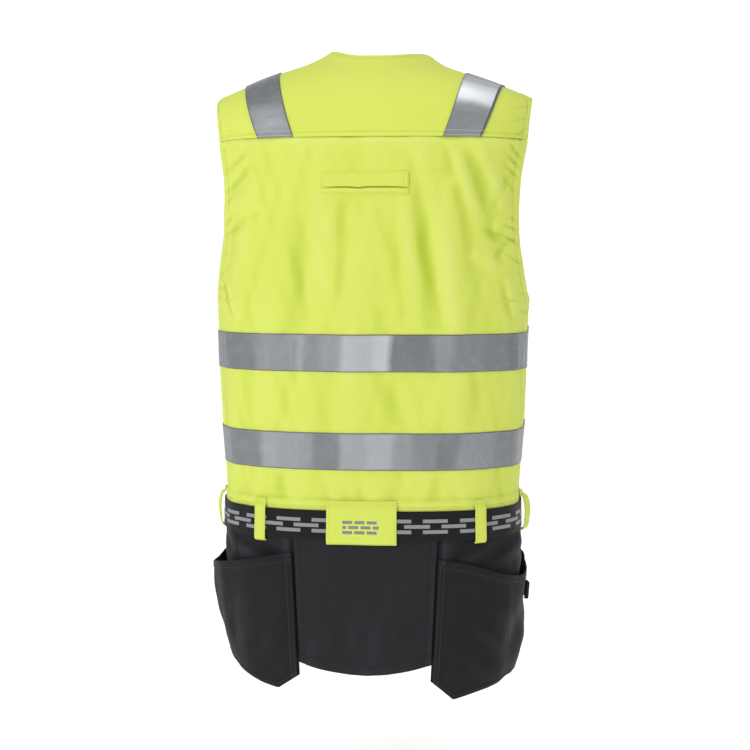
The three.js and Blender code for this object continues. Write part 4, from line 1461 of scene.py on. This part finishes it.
parts = spaced(-1, 1, 66, edge_width / 100)
downs = spaced(0, 1, 84, edge_width / 236)
PART, DOWN = np.meshgrid(parts, downs)
bottom = body_length + lower_panel_length - lower_panel_hem_rise * PART**2
top = body_length - dark_tuck
level = top + (bottom - top) * DOWN
share = PART * lower_seam(level, 0.0)
lift = (
    dark_lift(level)
    + hung(23, PART * 100, level)
    + hem_lift(bottom - level, 10)
    + 0.4 * smooth_step((np.abs(PART) - 0.93) / 0.03)
    - 0.4 * bump_at(np.abs(PART), 0.93, 0.012)
)
lower_panel = shell(
    "lower_back_panel_cloth",
    on_body("back", share, level, lift),
    dark_wall,
    edge_round(parts, edge_width / 100),
    edge_round(downs, edge_width / 236),
    dark,
    (0, 0, -700),
    hollow=hollows(lift),
)
dress(lower_panel, "lower_back_panel")


def side_panel(word, hand):
    across = spaced(0, 1, 96, edge_width / 290)
    downs = spaced(0, 1, 84, edge_width / 250)
    ACROSS, DOWN = np.meshgrid(across, downs)
    bottom = pouch_level(word, "bottom", ACROSS)
    top = body_length - dark_tuck
    level = top + (bottom - top) * DOWN
    behind = 1 - smooth_step((level - centre_corner_level + 16) / 12)
    lap = panel_lap * (1 - smooth_step(ACROSS * 290 / panel_lap)) * behind
    place = hand * (pouch_round(ACROSS, level) - lap / round_length)
    under = -panel_under * (1 - smooth_step((ACROSS * 290 - panel_lap * 0.5) / 4)) * behind
    wrinkles = 2.4 * uneven(37 + hand, ACROSS * 290 + level * 0.7, level, 90, 70) * bump_at(level, 642, 20)
    wrinkles = wrinkles * smooth_step((np.minimum(ACROSS, 1 - ACROSS) * 290 - 12) / 20)
    swell = panel_swell[word] * bump_at(ACROSS, swell_place, 0.22) * bump_at(level, 655, 60)
    lift = dark_lift(level) + 0.4 * hung(31 + hand, ACROSS * 290, level) + under + wrinkles + swell
    piece = shell(
        f"side_panel_{word}_cloth",
        round_body(place, level, lift),
        dark_wall,
        edge_round(across, edge_width / 290),
        edge_round(downs, edge_width / 250),
        shaded_dark,
        (0, 0, -700),
        hollow=hollows(lift),
    )
    return dress(piece, f"side_panel_{word}")


side_panels = {word: side_panel(word, hand) for word, hand in (("left", -1), ("right", 1))}
print("dark panels:", 1 + len(side_panels))

# %% [markdown]
# The pouches are bags sewn on the side panels along their sides and pointed bottoms. Their mouths stand
# open. A pouch bulges most at its mouth and runs out flat at its seams, and the cloth sags into soft
# diagonal folds towards the bottom point.

# %% Pouches
pouch_roundness = 0.75
pouch_fall_curves = {"left": 2.2, "right": 5.0}
pouch_fall_end = 0.8
mouth_hem = 11


def pouch_bulge(across, down, word):
    wide = np.sin(np.pi * np.clip(across, 0, 1)) ** pouch_roundness
    fall = 1 - np.clip(down, 0, 1) ** pouch_fall_curves[word]
    return pouch_depths[word] * wide * fall**pouch_fall_end


def pouch(word, hand):
    inset = pouch_seam_setback / pouch_panel_length
    across = spaced(inset, 1 - inset, 110, edge_width / 290)
    downs = spaced(0, 1, 70, edge_width / 160)
    ACROSS, DOWN = np.meshgrid(across, downs)
    mouth = pouch_level(word, "mouth", ACROSS)
    bottom = pouch_level(word, "bottom", ACROSS) - pouch_seam_setback
    level = mouth + (bottom - mouth) * DOWN
    share = (ACROSS - inset) / (1 - 2 * inset)
    soft = np.sin(np.pi * share) * np.sin(np.pi * DOWN)
    sag = soft * (
        2.2 * uneven(41 + hand, ACROSS * 290 + level * 0.5, level, 110, 150)
        + 1.1 * uneven(43 + hand, ACROSS * 290 - level * 0.4, level, 46, 90)
    )
    inner_seam = ACROSS * 290
    lift = (
        dark_lift(level)
        + 0.4 * hung(31 + hand, ACROSS * 290, level)
        + layer_gap * 2
        + dark_wall
        + pouch_bulge(share, DOWN, word)
        + sag
        + hem_lift(level - mouth, mouth_hem, 0.7)
        + hem_lift(inner_seam, 9, 0.5)
        + hem_lift(bottom - level, 7, 0.4)
    )
    place = hand * pouch_round(ACROSS, level)
    piece = shell(
        f"pouch_{word}_cloth",
        round_body(place, level, lift),
        dark_wall,
        edge_round(across, edge_width / 290),
        edge_round(downs, edge_width / 160),
        shaded_dark,
        (0, 0, -700),
        hollow=hollows(lift - hem_lift(level - mouth, mouth_hem, 0.7)),
    )
    return dress(piece, f"pouch_{word}")


pouches = {word: pouch(word, hand) for word, hand in (("left", -1), ("right", 1))}
print("pouches:", list(pouches))

# %% [markdown]
# The belt runs through loops of the bright cloth and a wide tunnel at the centre back. Each is a strap:
# sewn to the hem above, over the belt, and back to the dark panel below. Its way is a smooth curve through
# a few places, and the strap is that curve given a width and a thickness.

# %% Belt loops and tunnel
loop_width = 16
loop_thickness = 1.4
loop_top_lap = 16
loop_foot = 4
loop_gap = 0.5
tunnel_width = 93
tunnel_thickness = 1.6
tunnel_shift = -4


def smooth_way(points, count):
    """A smooth curve through a few points, as levels and lifts."""
    points = np.asarray(points, float)
    padded = np.concatenate([[2 * points[0] - points[1]], points, [2 * points[-1] - points[-2]]])
    made = []
    for t in np.linspace(0, len(points) - 1 - 1e-9, count):
        i = int(t)
        a, b, c, d = padded[i:i + 4]
        s = t - i
        made.append(0.5 * (2 * b + (c - a) * s + (2 * a - 5 * b + 4 * c - d) * s**2 + (3 * b - a - 3 * c + d) * s**3))
    return np.array(made)


def loop_way(thickness, slack):
    """Level and lift of a strap's inner face on its way over the belt."""
    seat = hem_casing["thickness"] + loop_gap
    over = belt_outer + loop_gap
    foot = dark_lift(belt_bottom + loop_foot) + loop_gap
    return [
        (body_length - loop_top_lap, seat),
        (belt_top - thickness * 4, seat + slack * 0.3),
        (belt_top - thickness, over + slack * 0.6),
        (belt_top + belt_width * 0.4, over + slack),
        (belt_bottom + layer_gap, over + slack * 0.6),
        (belt_bottom + loop_foot * 0.7, over / 2 + slack * 0.2),
        (belt_bottom + loop_foot, foot),
    ]


def strap(name, way, place, width, thickness, material, across_count=12, along_count=60, bow=0.0, twist=0.0):
    """A strap on the body along a way of levels and lifts."""
    way = smooth_way(way, along_count)
    middle = way[len(way) // 2, 0]
    per_share = np.linalg.norm(round_body(place + 0.01, middle, 0.0) - round_body(place, middle, 0.0)) / 0.01
    sides = spaced(-1, 1, across_count, 1.4 / width)
    run = np.linspace(0, 1, along_count)
    SIDE, RUN = np.meshgrid(sides, run)
    level = np.interp(RUN, run, way[:, 0])
    lift = np.interp(RUN, run, way[:, 1])
    heading = np.gradient(way, axis=0)
    heading /= np.linalg.norm(heading, axis=1, keepdims=True)
    level = level - np.interp(RUN, run, heading[:, 1]) * thickness
    lift = lift + np.interp(RUN, run, heading[:, 0]) * thickness
    lift = lift + (bow * (1 - SIDE**2) + twist * SIDE) * np.sin(np.pi * RUN)
    at = place + SIDE * width / 2 / per_share
    edge = 1.4 / width
    ends = np.clip(np.minimum(RUN[:, 0], 1 - RUN[:, 0]) * along_count / 2, 0, 1)
    return shell(
        name,
        round_body(at, level, lift),
        thickness,
        edge_round(sides, edge),
        np.sqrt(1 - (1 - ends) ** 2),
        material,
        (0, 0, -belt_top),
    )


rear_places = {"left": 142, "right": 152}
front_loop_place = 120
side_loop_twist = 3.2
loops = {}
for word, hand in (("left", -1), ("right", 1)):
    rear = share_at_place("back", rear_places[word], float(belt_top))
    front = 2 - share_at_place("front", front_loop_place, float(belt_top))
    for where, place, slack in (("rear", rear, 0.8), ("side", 0.97, 8), ("front", front, 0)):
        name = f"belt_loop_{where}_{word}"
        way = loop_way(loop_thickness, slack)
        twist = side_loop_twist * hand if where == "side" else 0.0
        piece = strap(f"{name}_cloth", way, hand * place, loop_width, loop_thickness, bright, twist=twist)
        loops[name] = dress(piece, name)
tunnel_place = share_at_place("back", tunnel_shift, float(belt_top))
tunnel = strap(
    "belt_tunnel_cloth", loop_way(tunnel_thickness, 0), tunnel_place, tunnel_width, tunnel_thickness, printed, 50, 90, bow=0.4
)
dress(tunnel, "belt_tunnel")
print("loops:", len(loops))

# %% [markdown]
# On the upper back sits a flat patch with a slot along its foot. It is two strips: an upper flap whose free
# edge hangs over the slot, and a lower lip that pouts. The dark line between them is real depth.

# %% Slot patch
patch_width = 116
patch_height = 27
patch_level = 127
patch_dip = 1.3
patch_dip_place = -0.14


def patch_strip(top, bottom, base, lip, sag):
    """A strip of the patch as a grid of points. base and lip lift its sewn and its free edge."""
    sides = spaced(-1, 1, 60, 0.02)
    runs = spaced(0, 1, 12, 0.06)
    SIDE, RUN = np.meshgrid(sides, runs)
    open_middle = 1 - SIDE**4
    dip = patch_dip * bump_at(SIDE, patch_dip_place, 0.13)
    level = top + (bottom - top) * RUN + (sag + dip) * RUN * open_middle
    share = share_at_place("back", SIDE * patch_width / 2, level)
    lift = base + lip * RUN**2 * open_middle
    return on_body("back", share, level, lift), sides, runs


flap_points, flap_sides, flap_runs = patch_strip(patch_level, patch_level + 20.5, 0.95, 2.4, -1.2)
slot_patch = shell(
    "slot_patch_flap", flap_points, 0.7, edge_round(flap_sides, 0.02), edge_round(flap_runs, 0.06), bright, (0, 0, -140)
)
dress(slot_patch, "slot_patch")
lip_points, lip_sides, lip_runs = patch_strip(patch_level + patch_height + 2, patch_level + 22.4, 0.95, 3.0, -0.6)
slot_lip = shell(
    "slot_patch_lip", lip_points, 0.7, edge_round(lip_sides, 0.02), edge_round(lip_runs, 0.06), bright, (0, 0, -140)
)
dress(slot_lip, None)
print("patch strips: 2")

# %% [markdown]
# The front closes with a coarse moulded zip. Its woven tapes lie behind the two edges and its teeth stand in
# the opening, one from the left and one from the right in turn. All teeth are one mesh made by a loop,
# which is light and keeps them exactly even.

# %% Zip
zip_tape_half_width = 15
zip_tape_thickness = 1.4
tooth_pitch = 3.4
tooth_size = (5.2, 2.2, 2.4)
tooth_shift = 1.2
zip_top = neck_front_level + 1


def box_mesh(centre, size, ahead, out):
    """The corners of a small block with a pinched top, turned to a direction."""
    aside = np.cross(ahead, out)
    corners = []
    for z, pinch in ((-0.5, 1.0), (0.15, 1.0), (0.5, 0.72)):
        for x, y in ((-0.5, -0.5), (0.5, -0.5), (0.5, 0.5), (-0.5, 0.5)):
            corners.append(centre + aside * x * size[0] * pinch + ahead * y * size[1] * pinch + out * z * size[2])
    return corners


tape_sides = spaced(-1, 1, 16, 0.04)
tape_levels = spaced(zip_top, body_length, 120, 0.6)
SIDE, LEVEL = np.meshgrid(tape_sides, tape_levels)
zip_share = share_at_place("front", SIDE * zip_tape_half_width, LEVEL)
zip_tape = shell(
    "zip_tape",
    on_body("front", zip_share, LEVEL, -(cloth_wall + layer_gap)),
    zip_tape_thickness,
    edge_round(tape_sides, 0.04),
    edge_round(tape_levels, 0.6),
    dark,
    (0, 0, -300),
)
dress(zip_tape, "front_zip")
tooth_points, tooth_faces = [], []
block = [(0, 3, 2, 1), (8, 9, 10, 11)]
for low in (0, 4):
    block += [(low + k, low + (k + 1) % 4, low + 4 + (k + 1) % 4, low + 4 + k) for k in range(4)]
for k, level in enumerate(np.arange(zip_top + 3, body_length - 2, tooth_pitch / 2)):
    centre = on_body("front", 0.0, level, -(cloth_wall + layer_gap) + tooth_size[2] / 2)
    below = on_body("front", 0.0, level + 1, -(cloth_wall + layer_gap) + tooth_size[2] / 2)
    ahead = (below - centre) / np.linalg.norm(below - centre)
    out = np.cross(ahead, (-1, 0, 0))
    centre = centre + np.array((tooth_shift if k % 2 else -tooth_shift, 0, 0))
    tooth_faces += [tuple(len(tooth_points) + i for i in face) for face in block]
    tooth_points += box_mesh(centre, tooth_size, ahead, out / np.linalg.norm(out))
teeth = new_piece("zip_teeth", tooth_points, tooth_faces, plastic)
teeth.data.polygons.foreach_set("use_smooth", np.zeros(len(teeth.data.polygons), bool))
dress(teeth, None)
print("zip teeth:", len(tooth_points) // 12)

# %% [markdown]
# A small folded tab sits on the right pouch's side with a bright pull above it. Both are short ribbons
# whose way is worked out beside and off the pouch's face.

# %% Side tab
tab_height = 23
tab_width = 20
tab_reach = 6
tab_thickness = 1.5
tab_level = 698
tab_share = 1.03
tab_pull_height = 12
tab_pull_width = 9


def right_pouch_face(place, level):
    """How far the right pouch's outer face stands off the body."""
    start, stop = pouch_round(0, level), pouch_round(1, level)
    across = (place - start) / (stop - start)
    mouth, bottom = pouch_level("right", "mouth", across), pouch_level("right", "bottom", across)
    down = np.clip((level - mouth) / (bottom - mouth), 0, 1)
    return dark_lift(level) + layer_gap * 2 + pouch_bulge(across, down, "right") + dark_wall


def tab_way(reach, width, count):
    """A folded ribbon's way: beside its middle, and off the pouch."""
    turn = np.linspace(0, np.pi, count)
    return -np.cos(turn) * width / 2, np.sin(turn) ** 0.35 * (reach + tab_thickness)


def tab_piece(name, node, level, height, width, reach, material):
    per_share = np.linalg.norm(round_body(tab_share + 0.01, level, 0.0) - round_body(tab_share, level, 0.0)) / 0.01
    aside, out = tab_way(reach, width, 60)
    levels = spaced(level, level + height, 14, 0.8)
    ASIDE, LEVEL = np.meshgrid(aside, levels)
    OUT = np.meshgrid(out, levels)[0]
    share = tab_share + ASIDE / per_share
    lift = right_pouch_face(share, LEVEL) + layer_gap * 2 + OUT
    ends = np.clip(np.minimum(np.arange(60), np.arange(60)[::-1]) / 2, 0, 1)
    piece = shell(
        name,
        round_body(share, LEVEL, lift),
        tab_thickness,
        np.sqrt(1 - (1 - ends) ** 2),
        edge_round(levels, 0.8),
        material,
        (0, 0, -level - 10),
    )
    return dress(piece, node)


tab = tab_piece("side_tab_ribbon", "side_tab", tab_level, tab_height, tab_width, tab_reach, dark)
pull = tab_piece(
    "side_pull_ribbon", "side_tab_pull", tab_level - tab_pull_height, tab_pull_height - 2, tab_pull_width, 1.2,
    bright,
)
print("tab pieces: 2")

# %% [markdown]
# With all cloth in place, the seams are sewn. A row follows a border of a piece at an inset, or a line laid
# beside an edge. Rows that lie in a pressed groove read as topstitching from any side.

# %% Bright topstitching
edge_inset = 1.8
body_middle = {"back": (0, -130, -200), "front": (0, 136, -200)}
rows = Sewing("bright_topstitching", bright_thread, "yellow_cloth")
seam_line = border(yoke, "bottom", yoke_stitch_inset)
rows.row(yoke, seam_line[seam_columns])
rows.row(yoke, border(yoke, "top", neck_stitch_inset))
for hand in (-1, 1):
    columns = (hand_side == hand) & (along_neck >= yoke_corner_place)
    line = border(yoke, "bottom", armhole_inset)[columns]
    rows.row(yoke, line[3:-3])
for side in ("left", "right"):
    rows.row(yoke, border(yoke, side, yoke_stitch_inset))
for inset in hem_rows:
    rows.row(back_panel, border(back_panel, "bottom", inset))
    for piece in front_panels.values():
        rows.row(piece, border(piece, "bottom", inset, 0.0, 0.94))
for hand, word in ((-1, "left"), (1, "right")):
    line = beside(armhole_line("back", hand)[3:-8], armhole_inset, body_middle["back"])
    rows.row(back_panel, line)
    line = beside(armhole_line("front", hand)[3:-8], armhole_inset, body_middle["front"])
    rows.row(front_panels[word], line)
    rows.row(front_panels[word], border(front_panels[word], "left", 6.0))
    rows.row(front_panels[word], border(front_panels[word], "top", 6.0, 0.0, 0.3))
hem_seam_places = (83, 93)
for place in hem_seam_places:
    heights = np.linspace(body_length - hem_casing["height"], body_length - 2, 12)
    rows.row(back_panel, on_body("back", share_at_place("back", place, heights), heights, 1.5))
for piece in loops.values():
    for side in ("left", "right"):
        rows.row(piece, border(piece, side, 2.6, 0.03, 0.9))
    rows.row(piece, border(piece, "top", 2.0), 2.0)
    rows.row(piece, border(piece, "top", 5.0), 2.0)
for side in ("left", "right"):
    rows.row(tunnel, border(tunnel, side, 3.0, 0.03, 0.92))
rows.row(tunnel, border(tunnel, "top", 3.0))
rows.row(tunnel, border(tunnel, "bottom", 5.0))
for side in ("left", "right"):
    rows.row(slot_patch, border(slot_patch, side, 2.0))
    rows.row(slot_patch, border(slot_patch, side, 6.5))
rows.row(slot_patch, border(slot_patch, "top", 2.0))
rows.row(slot_lip, border(slot_lip, "top", 1.6))
bright_rows = rows.finish()

# %% [markdown]
# The tapes are sewn down along both edges with grey thread, and the dark parts with thread of their own
# shade: single rows at hems, double rows where a pouch is sewn on.

# %% Grey and dark topstitching
rows = Sewing("tape_topstitching", grey_thread, "reflective_tape", 0.4, 3.4)
for piece in (*bands.values(), *shoulder_tapes.values()):
    for side in ("top", "bottom"):
        rows.row(piece, border(piece, side, edge_inset))
grey_rows = rows.finish()

rows = Sewing("tape_end_stitches", pale_thread, "reflective_tape", 0.75, 2.6)
for piece in shoulder_tapes.values():
    for side in ("left", "right"):
        for inset in (2.2, 8.5):
            rows.row(piece, border(piece, side, inset))
pale_rows = rows.finish()

rows = Sewing("dark_topstitching", dark_thread, "dark_cloth", 0.6, 3.4)
rows.row(lower_panel, border(lower_panel, "bottom", 10.0))
for side in ("left", "right"):
    rows.row(lower_panel, border(lower_panel, side, 6.5, 0.16))
for piece in pouches.values():
    rows.row(piece, border(piece, "top", 9.5))
    rows.row(piece, border(piece, "top", 12.5))
    for inset in (3.5, 9.5):
        rows.row(piece, border(piece, "left", inset))
    rows.row(piece, border(piece, "right", 5.0))
    rows.row(piece, border(piece, "bottom", 5.0))
    for step in range(6):
        near = border(piece, "left", 3.5 + step)
        rows.row(piece, near[int(len(near) * 0.02):int(len(near) * 0.1)], 1.4)
dark_rows = rows.finish()

# %% [markdown]
# The scene around the vest is plain: a pale floor that curves up into a backdrop, and broad soft lamps. The
# main lamp stands to the left behind the camera, so the right side falls into soft shade, and a lamp above
# gives the shoulder tapes their glint. The strong glint near the top of the right shoulder tape is also a
# painted highlight in its colour.

# %% Stage and lamps
floor_level = -1.0
backdrop_distance = 2.6
backdrop_radius = 1.2
backdrop_height = 3.6
floor_half_width = 6.0


def backdrop():
    """A floor and a wall in one curved sheet."""
    turn = np.linspace(0, np.pi / 2, 24)
    y = np.concatenate([[-7.0], backdrop_distance + backdrop_radius * np.sin(turn), [backdrop_distance + backdrop_radius]])
    z = np.concatenate([[0.0], backdrop_radius * (1 - np.cos(turn)), [backdrop_height]]) + floor_level
    x = np.array([-floor_half_width, floor_half_width])
    X, Y = np.meshgrid(x, y)
    Z = np.repeat(z[:, None], 2, 1)
    index = np.arange(X.size).reshape(X.shape)
    faces = np.stack([index[:-1, :-1], index[:-1, 1:], index[1:, 1:], index[1:, :-1]], -1).reshape(-1, 4)
    points = np.stack([X, Y, Z], -1).reshape(-1, 3) / MM
    graph = Graph("pale_floor")
    pale = graph.finish(Base_Color=(0.9, 0.9, 0.9, 1), Roughness=0.9, Emission_Color=(1, 1, 1, 1), Emission_Strength=0.5)
    return new_piece("backdrop", points, faces.tolist(), pale)


def lamp(name, place, aim, size, power):
    light = bpy.data.lights.new(name, "AREA")
    light.shape = "RECTANGLE"
    light.size, light.size_y = size
    light.energy = power
    holder = bpy.data.objects.new(name, light)
    holder.location = place
    holder.rotation_euler = (Vector(aim) - Vector(place)).to_track_quat("-Z", "Y").to_euler()
    bpy.context.scene.collection.objects.link(holder)


backdrop()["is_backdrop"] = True
lamp("main_lamp", (-2.2, -2.6, 0.9), (0, 0, -0.4), (1.3, 2.0), 50)
lamp("side_lamp", (2.6, -1.6, 0.3), (0, 0, -0.4), (0.5, 2.0), 5)
lamp("top_lamp", (0.7, -0.7, 2.1), (0, 0, 0), (1.3, 1.3), 21)
world = bpy.data.worlds.new("studio")
world.use_nodes = True
world.node_tree.nodes["Background"].inputs["Color"].default_value = (1, 1, 1, 1)
world.node_tree.nodes["Background"].inputs["Strength"].default_value = 0.36
bpy.context.scene.world = world
bpy.context.scene.view_settings.view_transform = "Standard"

# %% [markdown]
# What is still a plain solid gets the finish of its kind.

# %% The solids that stay
kept = {"belt_buckle": plastic, "zip_slider": plastic}
for node, material in kept.items():
    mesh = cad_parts[node].data
    mesh.materials.clear()
    mesh.materials.append(material)
print("solids kept:", list(kept))

# %% [markdown]
# Cloth is bought flat. For each cut sheet, the cross products of the two halves of every cell of its grid
# are worked out; nothing more is done with them.

# %% Cut sizes


def cut(piece):
    """Works out the cross products of the two halves of each cell of a piece's grid."""
    grid = grids[piece.name]
    one = np.cross(grid[1:, :-1] - grid[:-1, :-1], grid[:-1, 1:] - grid[:-1, :-1])
    two = np.cross(grid[1:, :-1] - grid[1:, 1:], grid[:-1, 1:] - grid[1:, 1:])


cut(yoke)
cut(back_panel)
cut(lower_panel)
for word in ("left", "right"):
    cut(front_panels[word])
    cut(side_panels[word])
    cut(pouches[word])
cut(tunnel)
cut(slot_patch)

# %% Sizes and the end
low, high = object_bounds()
